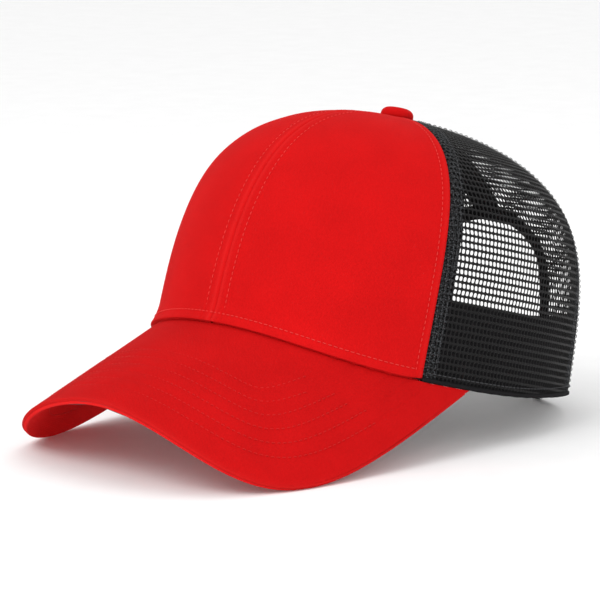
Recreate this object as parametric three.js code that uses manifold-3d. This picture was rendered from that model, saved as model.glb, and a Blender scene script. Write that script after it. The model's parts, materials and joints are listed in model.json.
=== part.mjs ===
// Trucker mesh cap: a six-panel crown with two stiffened fabric front panels and four
// open-mesh panels, a curved two-ply visor, and an arch opening closed by a snap strap.
// Cap frame: the wearer faces -Y, the wearer's left is +X and the crown rises along +Z.
// Angles run round the crown from the front (0) past the wearer's left (90) to the back (180).
import * as THREE from "three";
import { mergeVertices } from "three/addons/utils/BufferGeometryUtils.js";
import Module from "manifold-3d";

const wasm = await Module();
wasm.setup();

// Driving dimensions, in millimetres and degrees
const PITCH = 15.38; // nose-up attitude of a cap that lies on its visor and its rear rim
const GAP = 0.3; // clearance between pieces that touch
const CROWN = { front: 102.1, back: 92.2, side: 88.3, height: 114.2, poleY: -9.9 };
const PLAN = { front: 2.18, back: 2.07, top: 1.9 }; // super-ellipse exponents of the plan
// Each meridian is (1 - z^rise)^(1 / round), with z and the radius as fractions
const RISE = { front: 2.64, side: 5.25, back: 2.51 };
const ROUND = { front: 2.83, side: 1.99, back: 1.97 };
const RIM = {
  front: 8.6, corner: -0.9, back: 1.1, bump: 4.6, frontPower: 1.33, backAngle: 165, bumpLean: 1.2,
};
// The back is drawn in on each side of its centre seam, most of all at half this reach
const DRAW_IN = { depth: 5, reach: 60, rimShare: 0.4, fullHeight: 45, fadeFrom: 0.65, fadeTo: 0.92 };
const CORNER_ANGLE = 75.8; // where the visor's two ends meet the rim
const SEAM_ANGLES = { frontSide: 62, sideBack: 122 };
const TIP_RADIUS = 3; // the panels stop short of the pole, round the button's stem

const LAYERS = {
  panel: [0, 1],
  mesh: [0, 1.1],
  buckram: [1.3, 2.1],
  frontTape: [2.4, 3.1],
  meshTape: [1.4, 2.1],
  binding: [-0.4, 1.6],
  sweatband: [3.5, 4.9],
};
const TAPE_WIDTH = 15;
const TAPE_HALF_SPREAD = 26; // towards the pole the tapes narrow to this many degrees a side
const SWEATBAND_HEIGHT = 35;
const SWEATBAND_END_ANGLE = 153;

// The opening's sides stand straight up to the springing, and half an ellipse closes it
const ARCH = { halfWidth: 29, springing: 62, rise: 18, bindingWidth: 5.5 };

const VISOR = {
  length: 60, halfWidth: 85.1, rootHeight: 10.4, slope: 0.703,
  arch: 6.07e-3, archQuartic: 4.08e-7, sidePower: 2.74, frontPower: 3.88, endPower: 6,
};
const VISOR_LAYERS = { visor_top_cloth: [0, 0.5], visor_board: [0.8, 2.4], visor_under_cloth: [2.7, 3.2] };

const BUTTON = { radius: 7.5, height: 5, crownRadius: 3.6, stemRadius: 1.4, stemDepth: 2.3 };
const RIVET = { radius: 6, top: -2.9, depth: 2.2 };

const STRAP = {
  bottom: 4.6, height: 19, thickness: 1.2, hingeX: 27, endX: -20, rootX: 39, rootDepth: 2.1,
  holesDepth: 1.2, pegsDepth: 2.7, pegs: 4, pitch: 8, holeRadius: 2.6, pegRadius: 1.8, headRadius: 2.1,
};

const FINISH = {
  red: { color: 0xd91718, roughness: 0.9 },
  stiffener: { color: 0xe6e3dc, roughness: 0.95 },
  mesh: { color: 0x1d1b1c, roughness: 0.8 },
  black: { color: 0x1f1d1e, roughness: 0.9 },
  board: { color: 0x2a2a2c, roughness: 0.7 },
  plastic: { color: 0x161617, roughness: 0.45 },
  rivet: { color: 0xb9bcc0, roughness: 0.35, metalness: 0.9 },
};

const radians = THREE.MathUtils.degToRad;
const lerp = THREE.MathUtils.lerp;
const clamp = THREE.MathUtils.clamp;
const smoothstep = THREE.MathUtils.smoothstep;
const signedPower = (value, power) => Math.sign(value) * Math.abs(value) ** power;

const cap = new THREE.Group();

function addPiece(name, geometry, finish) {
  const piece = new THREE.Mesh(geometry, new THREE.MeshStandardMaterial(FINISH[finish]));
  piece.name = name;
  cap.add(piece);
}

// ---- The crown's outer surface ----

// A value that changes from front to side to back round the crown.
function around(angle, front, side, back) {
  const end = Math.cos(angle) > 0 ? front : back;
  return lerp(end, side, Math.sin(angle) ** 2);
}

function planPoint(angle, level = 0) {
  const rimPower = around(angle, PLAN.front, (PLAN.front + PLAN.back) / 2, PLAN.back);
  const power = 2 / lerp(rimPower, PLAN.top, level);
  const depth = Math.cos(angle) > 0 ? CROWN.front : CROWN.back;
  return [CROWN.side * signedPower(Math.sin(angle), power), -depth * signedPower(Math.cos(angle), power)];
}

// The rim arches over the forehead, dips to the visor's ends and rises a little over the ears.
function rimHeight(angle) {
  const turn = Math.abs(angle);
  const corner = radians(CORNER_ANGLE);
  if (turn < corner) {
    const swell = (0.5 + 0.5 * Math.cos((Math.PI * turn) / corner)) ** RIM.frontPower;
    return lerp(RIM.corner, RIM.front, swell);
  }
  const part = clamp((turn - corner) / (radians(RIM.backAngle) - corner), 0, 1) ** RIM.bumpLean;
  return lerp(RIM.corner, RIM.back, smoothstep(part, 0, 1)) + RIM.bump * Math.sin(Math.PI * part) ** 2;
}

// How far forward the back is drawn in beside its centre seam.
function drawIn(x, height, level) {
  const { depth, reach, rimShare, fullHeight, fadeFrom, fadeTo } = DRAW_IN;
  const swell = Math.sin((Math.PI * Math.min(Math.abs(x), reach)) / reach) ** 2;
  const low = lerp(rimShare, 1, smoothstep(height, 5, fullHeight));
  return depth * swell * low * (1 - smoothstep(level, fadeFrom, fadeTo));
}

// A point on the crown: climb runs from 0 at the rim plane to 1 at the pole.
function crownSurface(angle, climb) {
  const level = Math.sin((climb * Math.PI) / 2);
  const above = Math.max(level, 0);
  const [x, y] = planPoint(angle, above);
  const rise = around(angle, RISE.front, RISE.side, RISE.back);
  const round = around(angle, ROUND.front, ROUND.side, ROUND.back);
  const radius = (1 - above ** rise) ** (1 / round);
  const height = level * CROWN.height;
  const drawn = y > 0 ? drawIn(x * radius, height, above) : 0;
  return new THREE.Vector3(x * radius, CROWN.poleY * (1 - radius) + y * radius - drawn, height);
}

const climbAtHeight = (height) => (Math.asin(height / CROWN.height) * 2) / Math.PI;

function climbAtRadius(angle, radius) {
  const rise = around(angle, RISE.front, RISE.side, RISE.back);
  const round = around(angle, ROUND.front, ROUND.side, ROUND.back);
  return climbAtHeight(CROWN.height * (1 - (radius / CROWN.side) ** round) ** (1 / rise));
}

// The crown's shared rows, from just above the rim to the panels' tips.
const CROWN_ROWS = 12;
function rowClimb(angle, row) {
  return lerp(climbAtHeight(rimHeight(angle) + GAP), climbAtRadius(angle, TIP_RADIUS), row / CROWN_ROWS);
}

// The angle that a width along the crown takes up there.
function angleOfWidth(width, angle, climb) {
  const step = 1e-3;
  const run = crownSurface(angle + step, climb).distanceTo(crownSurface(angle - step, climb));
  return (width * 2 * step) / run;
}

// ---- Closed shells between two depths under a surface ----

// A point a depth under the crown's outer surface, square to it.
function crownPoint(angle, climb, depth) {
  const step = 1e-3;
  const round = crownSurface(angle + step, climb).sub(crownSurface(angle - step, climb));
  const upward = crownSurface(angle, climb + step).sub(crownSurface(angle, climb - step));
  const normal = round.cross(upward).normalize();
  return crownSurface(angle, climb).addScaledVector(normal, -depth);
}

// pointAt(i, j, depth) gives a grid point of the sheet that lies a depth under the surface.
// layer holds the depths of the outer and the inner face, or gives them for a column.
function shellGeometry(columns, rows, pointAt, layer) {
  const depthsAt = typeof layer === "function" ? layer : () => layer;
  const positions = [];
  for (const face of [0, 1])
    for (let j = 0; j <= rows; j++)
      for (let i = 0; i <= columns; i++)
        positions.push(...pointAt(i, j, depthsAt(i)[face]).toArray());
  const index = [];
  const at = (i, j, layer) => (layer * (rows + 1) + j) * (columns + 1) + i;
  const quad = (p, q, r, s) => index.push(p, q, r, p, r, s);
  for (let j = 0; j < rows; j++)
    for (let i = 0; i < columns; i++) {
      quad(at(i, j, 0), at(i + 1, j, 0), at(i + 1, j + 1, 0), at(i, j + 1, 0));
      quad(at(i, j, 1), at(i, j + 1, 1), at(i + 1, j + 1, 1), at(i + 1, j, 1));
    }
  for (let i = 0; i < columns; i++) {
    quad(at(i, 0, 1), at(i + 1, 0, 1), at(i + 1, 0, 0), at(i, 0, 0));
    quad(at(i, rows, 0), at(i + 1, rows, 0), at(i + 1, rows, 1), at(i, rows, 1));
  }
  for (let j = 0; j < rows; j++) {
    quad(at(0, j, 1), at(0, j, 0), at(0, j + 1, 0), at(0, j + 1, 1));
    quad(at(columns, j, 0), at(columns, j, 1), at(columns, j + 1, 1), at(columns, j + 1, 0));
  }
  return new THREE.BufferGeometry()
    .setAttribute("position", new THREE.Float32BufferAttribute(positions, 3))
    .setIndex(index);
}

// ---- Boolean cuts ----

function toSolid(geometry) {
  const bare = geometry.clone().deleteAttribute("normal").deleteAttribute("uv");
  const merged = mergeVertices(bare, 1e-4);
  return new wasm.Manifold(
    new wasm.Mesh({
      numProp: 3,
      vertProperties: merged.attributes.position.array,
      triVerts: new Uint32Array(merged.index.array),
    }),
  );
}

function toGeometry(solid) {
  const mesh = solid.getMesh();
  return new THREE.BufferGeometry()
    .setAttribute("position", new THREE.BufferAttribute(mesh.vertProperties, 3))
    .setIndex(new THREE.BufferAttribute(mesh.triVerts, 1));
}

// A shape drawn in X and Z, extruded along Y through the back of the cap.
function backPrism(shape, curveSegments) {
  const reach = 80;
  const geometry = new THREE.ExtrudeGeometry(shape, { depth: reach, bevelEnabled: false, curveSegments });
  geometry.rotateX(Math.PI / 2).translate(0, reach + 40, 0);
  return toSolid(geometry);
}

// ---- Crown panels, stiffeners and tapes ----

function crownPanel(fromDegrees, toDegrees, columns, layer) {
  const pointAt = (i, j, depth) => {
    const share = i / columns;
    const along = lerp(radians(fromDegrees), radians(toDegrees), share);
    const climb = rowClimb(along, j);
    const inset = (1 - 2 * share) * angleOfWidth(GAP / 2, along, climb);
    return crownPoint(along + inset, climb, depth);
  };
  return shellGeometry(columns, CROWN_ROWS, pointAt, layer);
}

const archShape = (grow) => {
  const half = ARCH.halfWidth + grow;
  const shape = new THREE.Shape();
  shape.moveTo(half, -20);
  shape.lineTo(half, ARCH.springing);
  shape.absellipse(0, ARCH.springing, half, ARCH.rise + grow, 0, Math.PI, false);
  shape.lineTo(-half, -20);
  return shape;
};
// The prisms are drawn with Z pointing down the page, so each is turned upright.
const upright = (shape) => new THREE.Shape(shape.getPoints(10).map((p) => new THREE.Vector2(p.x, p.y)));

function archPrism(grow) {
  return backPrism(upright(archShape(grow)), 10);
}

const SIDES = [["left", 1], ["right", -1]];
const spanOf = (side, from, to) => (side > 0 ? [from, to] : [-to, -from]);

function addCrownPanels() {
  const panelCut = archPrism(ARCH.bindingWidth + GAP);
  for (const [hand, side] of SIDES) {
    const front = spanOf(side, 0, SEAM_ANGLES.frontSide);
    const flank = spanOf(side, SEAM_ANGLES.frontSide, SEAM_ANGLES.sideBack);
    const back = spanOf(side, SEAM_ANGLES.sideBack, 180);
    addPiece("front_panel_" + hand, crownPanel(...front, 9, LAYERS.panel), "red");
    addPiece("buckram_" + hand, crownPanel(...front, 9, LAYERS.buckram), "stiffener");
    addPiece("side_mesh_" + hand, crownPanel(...flank, 9, LAYERS.mesh), "mesh");
    const backPanel = toSolid(crownPanel(...back, 9, LAYERS.mesh)).subtract(panelCut);
    addPiece("back_mesh_" + hand, toGeometry(backPanel), "mesh");
  }
}

function seamTape(seamDegrees, layer, firstRow) {
  const columns = 2;
  const lastRow = CROWN_ROWS - 1;
  const pointAt = (i, j, depth) => {
    const seam = radians(seamDegrees);
    const row = firstRow + j;
    const offset = TAPE_WIDTH * (i / columns - 0.5);
    const turn = angleOfWidth(offset, seam, rowClimb(seam, row));
    const angle = seam + clamp(turn, -radians(TAPE_HALF_SPREAD), radians(TAPE_HALF_SPREAD));
    return crownPoint(angle, rowClimb(angle, row), depth);
  };
  return shellGeometry(columns, lastRow - firstRow, pointAt, layer);
}

function addTapes() {
  const rowOverArch = 7;
  addPiece("tape_center_front", seamTape(0, LAYERS.frontTape, 0), "black");
  addPiece("tape_center_back", seamTape(180, LAYERS.meshTape, rowOverArch), "black");
  for (const [hand, side] of SIDES) {
    const frontSide = seamTape(side * SEAM_ANGLES.frontSide, LAYERS.frontTape, 0);
    addPiece("tape_front_side_" + hand, frontSide, "black");
    const sideBack = seamTape(side * SEAM_ANGLES.sideBack, LAYERS.meshTape, 0);
    addPiece("tape_side_back_" + hand, sideBack, "black");
  }
}

// The binding folds over the cut edge of the mesh round the opening.
function addArchBinding() {
  const columns = 14;
  const spread = radians(34);
  const topRow = 10;
  const pointAt = (i, j, depth) => {
    const angle = Math.PI + lerp(-spread, spread, i / columns);
    return crownPoint(angle, rowClimb(angle, j), depth);
  };
  const ribbon = toSolid(shellGeometry(columns, topRow, pointAt, LAYERS.binding));
  const binding = ribbon.intersect(archPrism(ARCH.bindingWidth)).subtract(archPrism(0));
  addPiece("arch_binding", toGeometry(binding), "black");
}

function addSweatband() {
  const columns = 36;
  const rows = 3;
  const end = radians(SWEATBAND_END_ANGLE);
  const pointAt = (i, j, depth) => {
    const angle = lerp(-end, end, i / columns);
    const low = rimHeight(angle) + 2 * GAP;
    return crownPoint(angle, climbAtHeight(low + (SWEATBAND_HEIGHT * j) / rows), depth);
  };
  addPiece("sweatband", shellGeometry(columns, rows, pointAt, LAYERS.sweatband), "black");
}

// ---- Visor ----

// The visor bends about the front-to-back axis and falls away from the crown.
function visorSheet(x, y) {
  const reach = -y - CROWN.front;
  return VISOR.rootHeight - VISOR.slope * reach - (VISOR.arch * x ** 2 + VISOR.archQuartic * x ** 4);
}

function visorNormal(x) {
  return new THREE.Vector3(2 * VISOR.arch * x + 4 * VISOR.archQuartic * x ** 3, -VISOR.slope, 1).normalize();
}

// The angle whose rim point has a given x, in front of the visor's ends.
function rimAngleAt(x) {
  const sine = (power) => signedPower(x / CROWN.side, power / 2);
  let angle = Math.asin(sine(PLAN.front));
  for (let pass = 0; pass < 8; pass++)
    angle = Math.asin(sine(around(angle, PLAN.front, (PLAN.front + PLAN.back) / 2, PLAN.back)));
  return angle;
}

const [cornerX, cornerY] = planPoint(radians(CORNER_ANGLE));

// sweep runs from -1 to 1 across the visor, and inward from 0 at its edge to 1 at the rim.
function visorSurface(sweep, inward) {
  const across = 1 - (1 - Math.abs(sweep)) ** 1.6;
  const turn = (Math.sign(sweep) * across * Math.PI) / 2;
  const side = signedPower(Math.sin(turn), 2 / VISOR.sidePower);
  const tipY = -(CROWN.front + VISOR.length);
  const edgeY = cornerY + (tipY - cornerY) * Math.abs(Math.cos(turn)) ** (2 / VISOR.frontPower);
  const ending = clamp((edgeY - tipY) / (cornerY - tipY), 0, 1) ** VISOR.endPower;
  const edgeX = VISOR.halfWidth * side * lerp(1, cornerX / VISOR.halfWidth, ending);
  const rootAngle = rimAngleAt(cornerX * side);
  const [rootX, rootY] = planPoint(rootAngle);
  const out = 1 - inward;
  const x = lerp(rootX, edgeX, out);
  const y = lerp(rootY, edgeY, out);
  const rootDrop = rimHeight(rootAngle) - visorSheet(rootX, rootY);
  const endDrop = RIM.corner - visorSheet(cornerX, cornerY);
  return new THREE.Vector3(x, y, visorSheet(x, y) + rootDrop * inward + endDrop * out * ending);
}

function addVisor() {
  const columns = 24;
  const rows = 5;
  const endSweep = 0.93;
  const pointAt = (i, j, depth) => {
    const point = visorSurface(lerp(-endSweep, endSweep, i / columns), j / rows);
    return point.addScaledVector(visorNormal(point.x), -depth);
  };
  const finishes = { visor_top_cloth: "red", visor_board: "board", visor_under_cloth: "red" };
  for (const [name, layer] of Object.entries(VISOR_LAYERS))
    addPiece(name, shellGeometry(columns, rows, pointAt, layer), finishes[name]);
}

// ---- Button and its rivet cap, on the pole ----

function turned(outline) {
  const profile = outline.map(([radius, height]) => new THREE.Vector2(radius, height));
  const geometry = new THREE.LatheGeometry(profile, 24);
  geometry.rotateX(Math.PI / 2).translate(0, CROWN.poleY, CROWN.height);
  return geometry;
}

function addButton() {
  const { radius, height, crownRadius, stemRadius, stemDepth } = BUTTON;
  const dome = [];
  const domeSteps = 5;
  for (let step = 0; step <= domeSteps; step++) {
    const turn = (step / domeSteps) * (Math.PI / 2);
    dome.push([lerp(crownRadius, radius, Math.cos(turn)), lerp(GAP + 1, height, Math.sin(turn))]);
  }
  addPiece("crown_button", turned([
    [0, -stemDepth], [stemRadius, -stemDepth], [stemRadius, GAP], [radius - 0.6, GAP], ...dome, [0, height],
  ]), "red");
  addPiece("button_rivet", turned([
    [0, RIVET.top - RIVET.depth], [RIVET.radius * 0.6, RIVET.top - RIVET.depth],
    [RIVET.radius, RIVET.top - 0.8], [RIVET.radius, RIVET.top], [0, RIVET.top],
  ]), "rivet");
}

// ---- Snap strap: two curved plastic tongues that overlap across the opening ----

// The angle behind the wearer's ears whose rim point has a given x.
function rearAngleAt(x) {
  let turn = Math.asin(Math.abs(x) / CROWN.side);
  for (let pass = 0; pass < 8; pass++) {
    const power = around(Math.PI - turn, PLAN.front, (PLAN.front + PLAN.back) / 2, PLAN.back) / 2;
    turn = Math.asin((Math.abs(x) / CROWN.side) ** power);
  }
  return Math.PI - Math.sign(x) * turn;
}

// A strip that follows the crown's back from one x to another, its outer face depthAt(x) deep.
function strapStrip(rightX, leftX, depthAt) {
  const columns = 10;
  const xAt = (i) => lerp(leftX, rightX, i / columns);
  const top = STRAP.bottom + STRAP.height;
  const pointAt = (i, j, depth) =>
    crownPoint(rearAngleAt(xAt(i)), climbAtHeight(lerp(STRAP.bottom, top, j)), depth);
  const depthsAt = (i) => [depthAt(xAt(i)), depthAt(xAt(i)) + STRAP.thickness];
  return shellGeometry(columns, 1, pointAt, depthsAt);
}

// The tongue's outline seen from behind, with one round end.
function tongueOutline(side) {
  const low = STRAP.bottom - 1;
  const high = STRAP.bottom + STRAP.height + 1;
  const middle = STRAP.bottom + STRAP.height / 2;
  const round = STRAP.height / 2;
  const shape = new THREE.Shape();
  const wide = side * (STRAP.hingeX + 5);
  const centre = side * (STRAP.endX + round);
  shape.moveTo(wide, low);
  shape.lineTo(centre, low + 1);
  for (let step = 1; step < 12; step++) {
    const turn = (Math.PI * step) / 12;
    shape.lineTo(centre - side * round * Math.sin(turn), middle - round * Math.cos(turn));
  }
  shape.lineTo(centre, high - 1);
  shape.lineTo(wide, high);
  return shape;
}

const strapMiddle = STRAP.bottom + STRAP.height / 2;
const pegPlaces = Array.from({ length: STRAP.pegs }, (_, peg) => (peg - (STRAP.pegs - 1) / 2) * STRAP.pitch);
const spareHole = pegPlaces[0] - STRAP.pitch;

function peg(x, radius, fromY, toY) {
  const geometry = new THREE.CylinderGeometry(radius, radius, toY - fromY, 14);
  return toSolid(geometry.translate(x, (fromY + toY) / 2, strapMiddle));
}

// How deep each tongue runs: side by side at the roots, one over the other in between.
function tongueDepth(side, depth) {
  return (x) => lerp(depth, STRAP.rootDepth, smoothstep(side * x, STRAP.hingeX - 10, STRAP.hingeX + 2));
}

function strapFaceY(x, depth) {
  return crownPoint(rearAngleAt(x), climbAtHeight(strapMiddle), depth).y;
}

function addStraps() {
  const rootGap = 3 * GAP;
  const reach = STRAP.hingeX + GAP;
  const holesDepth = tongueDepth(-1, STRAP.holesDepth);
  const pegsDepth = tongueDepth(1, STRAP.pegsDepth);

  let holes = toSolid(strapStrip(-reach, -STRAP.endX, holesDepth)).intersect(backPrism(tongueOutline(-1), 12));
  for (const x of [spareHole, ...pegPlaces])
    holes = holes.subtract(peg(x, STRAP.holeRadius, 70, 110));
  addPiece("strap_holes", toGeometry(holes), "plastic");

  let pegs = toSolid(strapStrip(STRAP.endX, reach, pegsDepth)).intersect(backPrism(tongueOutline(1), 12));
  for (const x of pegPlaces) {
    const face = strapFaceY(x, pegsDepth(x));
    const collar = strapFaceY(x, holesDepth(x));
    pegs = pegs.add(peg(x, STRAP.pegRadius, face - 0.5, collar + 0.1));
    pegs = pegs.add(peg(x, STRAP.headRadius, collar - 0.3, collar + 0.3));
  }
  addPiece("strap_pegs", toGeometry(pegs), "plastic");

  const rootStart = STRAP.hingeX + rootGap;
  const rootDepth = () => STRAP.rootDepth;
  addPiece("strap_holes_root", strapStrip(-STRAP.rootX, -rootStart, rootDepth), "plastic");
  addPiece("strap_pegs_root", strapStrip(rootStart, STRAP.rootX, rootDepth), "plastic");
}

addCrownPanels();
addTapes();
addArchBinding();
addSweatband();
addVisor();
addButton();
addStraps();

// The cap lies nose-up on a table, its box centred over the origin and its lowest point at zero.
cap.rotation.x = -radians(PITCH);
const box = new THREE.Box3().setFromObject(cap, true);
const centre = box.getCenter(new THREE.Vector3());
cap.position.set(-centre.x, -centre.y, -box.min.z);

const group = new THREE.Group();
group.add(cap);
export default group;
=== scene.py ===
"""Looks of the trucker mesh cap: red cloth front and visor, open black net, tapes, threads and snap strap.

Every piece is built in the cap's own frame in millimetres, where the wearer faces -Y, the wearer's left is +X
and the crown rises along +Z. It is then placed in the row frame, where the cap lies nose-up on its visor and
rear rim. Angles run round the crown from the front (0) past the wearer's left (90) to the back (180).
"""

import json
import math

import bmesh
import bpy
import numpy as np
from mathutils import Matrix, Vector
from mathutils.geometry import delaunay_2d_cdt
from mathutils.kdtree import KDTree


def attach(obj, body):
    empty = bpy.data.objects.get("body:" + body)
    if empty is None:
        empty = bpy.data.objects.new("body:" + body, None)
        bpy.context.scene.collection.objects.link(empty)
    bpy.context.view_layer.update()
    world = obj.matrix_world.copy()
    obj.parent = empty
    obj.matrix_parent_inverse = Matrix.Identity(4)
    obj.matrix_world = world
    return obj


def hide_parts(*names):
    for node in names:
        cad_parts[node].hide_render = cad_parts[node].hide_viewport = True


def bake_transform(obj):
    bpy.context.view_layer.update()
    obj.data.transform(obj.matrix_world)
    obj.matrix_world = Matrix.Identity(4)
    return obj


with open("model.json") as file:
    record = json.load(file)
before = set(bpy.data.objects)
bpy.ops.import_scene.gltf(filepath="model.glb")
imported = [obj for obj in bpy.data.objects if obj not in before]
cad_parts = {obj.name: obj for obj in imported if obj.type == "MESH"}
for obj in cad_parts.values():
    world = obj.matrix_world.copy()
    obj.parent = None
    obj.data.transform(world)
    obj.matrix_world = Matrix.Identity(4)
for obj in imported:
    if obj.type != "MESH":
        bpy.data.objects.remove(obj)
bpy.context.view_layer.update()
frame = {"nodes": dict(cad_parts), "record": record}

# ---- Driving dimensions of the CAD model, in millimetres and degrees ----

CROWN_FRONT, CROWN_BACK, CROWN_SIDE, CROWN_HEIGHT, POLE_Y = 102.1, 92.2, 88.3, 114.2, -9.9
PLAN_FRONT, PLAN_BACK, PLAN_TOP = 2.18, 2.07, 1.9
RISE = (2.64, 5.25, 2.51)  # powers of the meridian at the front, the sides and the back
ROUND = (2.83, 1.99, 1.97)
RIM_FRONT, RIM_CORNER, RIM_BACK, RIM_BUMP, RIM_POWER = 8.6, -0.9, 1.1, 4.6, 1.33
CORNER_ANGLE, RIM_BACK_ANGLE, BUMP_LEAN = math.radians(75.8), math.radians(165), 1.2
DRAW_DEPTH, DRAW_REACH, DRAW_RIM_SHARE, DRAW_FULL_HEIGHT = 5, 60, 0.4, 45
DRAW_FADE = (0.65, 0.92)
FRONT_SEAM, BACK_SEAM = math.radians(62), math.radians(122)
TIP_RADIUS = 3  # the panels end at this distance from the pole, under the button
GAP = 0.3  # between the rim line and the lowest cloth
ARCH_HALF, ARCH_SPRINGING, ARCH_RISE, BINDING_WIDTH = 29, 62, 18, 5.5
VISOR_LENGTH, VISOR_HALF, VISOR_ROOT, VISOR_SLOPE = 60, 85.1, 10.4, 0.703
VISOR_ARCH, VISOR_QUARTIC = 6.07e-3, 4.08e-7
VISOR_SIDE_POWER, VISOR_FRONT_POWER, VISOR_END_POWER = 2.74, 3.88, 6
VISOR_THICKNESS = 3.2
STRAP_BOTTOM, STRAP_HEIGHT, STRAP_THICKNESS = 4.6, 19, 1.2
STRAP_HINGE, STRAP_END, STRAP_ROOT = 27, 20, 39
STRAP_ROOT_DEPTH, HOLES_DEPTH, PEGS_DEPTH = 2.1, 1.2, 2.7
PEGS, SNAP_PITCH = 4, 8
BUTTON_TOP = np.array([0.6, -9.5, 119.2])  # the mount button_top in the cap's frame

# ---- Sewing ----

STITCH_PITCH = 2.5
STITCH_LENGTH = 1.75
THREAD_RADIUS = 0.19
CENTRE_ROW = 5.6  # topstitching beside the centre seam
FLANK_ROW = 3.6  # on the red side of the front/side seam
NET_ROW = 5.0  # on the net side of it
BACK_ROWS = (-3, 3)  # beside the centre back seam
BOTTOM_ROW = 4.7  # above the crown's junction with the visor
VISOR_ROW_STEP = 6.5
VISOR_ROWS = [13 + VISOR_ROW_STEP * row for row in range(6)]  # in from the visor's edge

SIDES = [("left", 1), ("right", -1)]
MM = 0.001


# ---- The row frame ----

button_mount = next(m for m in frame["record"]["mounts"] if m["name"] == "button_top")
tilt_sine, tilt_cosine = button_mount["axis"][1:]
TILT = np.array([[1, 0, 0], [0, tilt_cosine, tilt_sine], [0, -tilt_sine, tilt_cosine]])
FLOOR_CLEARANCE = 0.00004  # in metres: the cloth lies flat where the cap stands on it


def place(points):
    """Points of the cap's frame in millimetres, in the row frame in metres."""
    return (np.asarray(points, float) - BUTTON_TOP) @ TILT.T * MM + np.array(button_mount["pos_m"])


# ---- Numbers ----


def lerp(a, b, share):
    return a + (b - a) * share


def smoothstep(value, low, high):
    share = np.clip((value - low) / (high - low), 0, 1)
    return share * share * (3 - 2 * share)


def signed_power(value, power):
    return np.sign(value) * np.abs(value) ** power


def unit(vectors):
    return vectors / np.maximum(np.linalg.norm(vectors, axis=-1, keepdims=True), 1e-12)


def bell(distance, width):
    """1 at no distance, fading to nothing over about twice the width."""
    return np.exp(-((distance / width) ** 2))


def fading(distance, reach):
    """1 at no distance, in a straight line to 0 at the reach."""
    return np.clip(1 - distance / reach, 0, 1)


def flat_places(*coordinates):
    """A list of places on the cloth from grids of their two coordinates."""
    return np.stack(coordinates, axis=-1).reshape(-1, 2)


def run_along(line):
    """The distance travelled along a line of points, from its first point."""
    steps = np.linalg.norm(np.diff(line, axis=0), axis=1)
    return np.concatenate([[0], np.cumsum(steps)])


def ripple(a, b, seed):
    """A gentle unevenness of cloth, between about -1 and 1, at the places a and b in millimetres."""
    random = np.random.default_rng(seed)
    total = 0
    for wavelength in (61, 43, 29, 19):
        heading = random.uniform(0, math.pi)
        phase = random.uniform(0, 2 * math.pi)
        along = a * math.cos(heading) + b * math.sin(heading)
        total = total + np.sin(2 * math.pi * along / wavelength + phase) * wavelength / 152
    return total


# ---- The crown's outer surface ----


def around(angle, front, side, back):
    end = np.where(np.cos(angle) > 0, front, back)
    return lerp(end, side, np.sin(angle) ** 2)


def plan_point(angle, level=0.0):
    rim_power = around(angle, PLAN_FRONT, (PLAN_FRONT + PLAN_BACK) / 2, PLAN_BACK)
    power = 2 / lerp(rim_power, PLAN_TOP, level)
    depth = np.where(np.cos(angle) > 0, CROWN_FRONT, CROWN_BACK)
    x = CROWN_SIDE * signed_power(np.sin(angle), power)
    return x, -depth * signed_power(np.cos(angle), power)


def rim_height(angle):
    turn = np.abs(angle)
    swell = np.clip(0.5 + 0.5 * np.cos(np.pi * np.minimum(turn / CORNER_ANGLE, 1)), 0, 1) ** RIM_POWER
    part = np.clip((turn - CORNER_ANGLE) / (RIM_BACK_ANGLE - CORNER_ANGLE), 0, 1) ** BUMP_LEAN
    behind = lerp(RIM_CORNER, RIM_BACK, smoothstep(part, 0, 1)) + RIM_BUMP * np.sin(np.pi * part) ** 2
    return np.where(turn < CORNER_ANGLE, lerp(RIM_CORNER, RIM_FRONT, swell), behind)


def draw_in(x, height, level):
    """How far forward the back is drawn in beside its centre seam."""
    swell = np.sin(np.pi * np.minimum(np.abs(x), DRAW_REACH) / DRAW_REACH) ** 2
    low = lerp(DRAW_RIM_SHARE, 1, smoothstep(height, 5, DRAW_FULL_HEIGHT))
    return DRAW_DEPTH * swell * low * (1 - smoothstep(level, *DRAW_FADE))


def crown_surface(angle, climb):
    """Points of the crown: climb runs from 0 at the rim plane to 1 at the pole."""
    angle, climb = np.broadcast_arrays(np.asarray(angle, float), np.asarray(climb, float))
    level = np.sin(climb * np.pi / 2)
    above = np.clip(level, 0, 1)
    x, y = plan_point(angle, above)
    radius = np.maximum(1 - above ** around(angle, *RISE), 0) ** (1 / around(angle, *ROUND))
    height = level * CROWN_HEIGHT
    drawn = np.where(y > 0, draw_in(x * radius, height, above), 0)
    return np.stack([x * radius, POLE_Y * (1 - radius) + y * radius - drawn, height], axis=-1)


def climb_at_height(height):
    return np.arcsin(np.asarray(height, float) / CROWN_HEIGHT) * 2 / np.pi


def climb_at_radius(angle, radius):
    share = 1 - (radius / CROWN_SIDE) ** around(angle, *ROUND)
    return climb_at_height(CROWN_HEIGHT * share ** (1 / around(angle, *RISE)))


def climb_over_rim(angle, height):
    return climb_at_height(rim_height(angle) + height)


def low_climb(angle):
    return climb_over_rim(angle, GAP)


def crown_normal(angle, climb):
    step = 1e-3
    sideways = crown_surface(angle + step, climb) - crown_surface(angle - step, climb)
    upward = crown_surface(angle, climb + step) - crown_surface(angle, climb - step)
    return unit(np.cross(sideways, upward))


def crown_point(angle, climb, depth):
    """A point a depth under the crown's outer surface, square to it."""
    depth = np.asarray(depth, float)[..., None]
    return crown_surface(angle, climb) - crown_normal(angle, climb) * depth


def angle_of_width(width, angle, climb):
    """The turn round the crown that a short width takes at a climb."""
    step = 1e-3
    run = np.linalg.norm(crown_surface(angle + step, climb) - crown_surface(angle - step, climb), axis=-1)
    return width * 2 * step / np.maximum(run, 1e-6)


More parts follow.
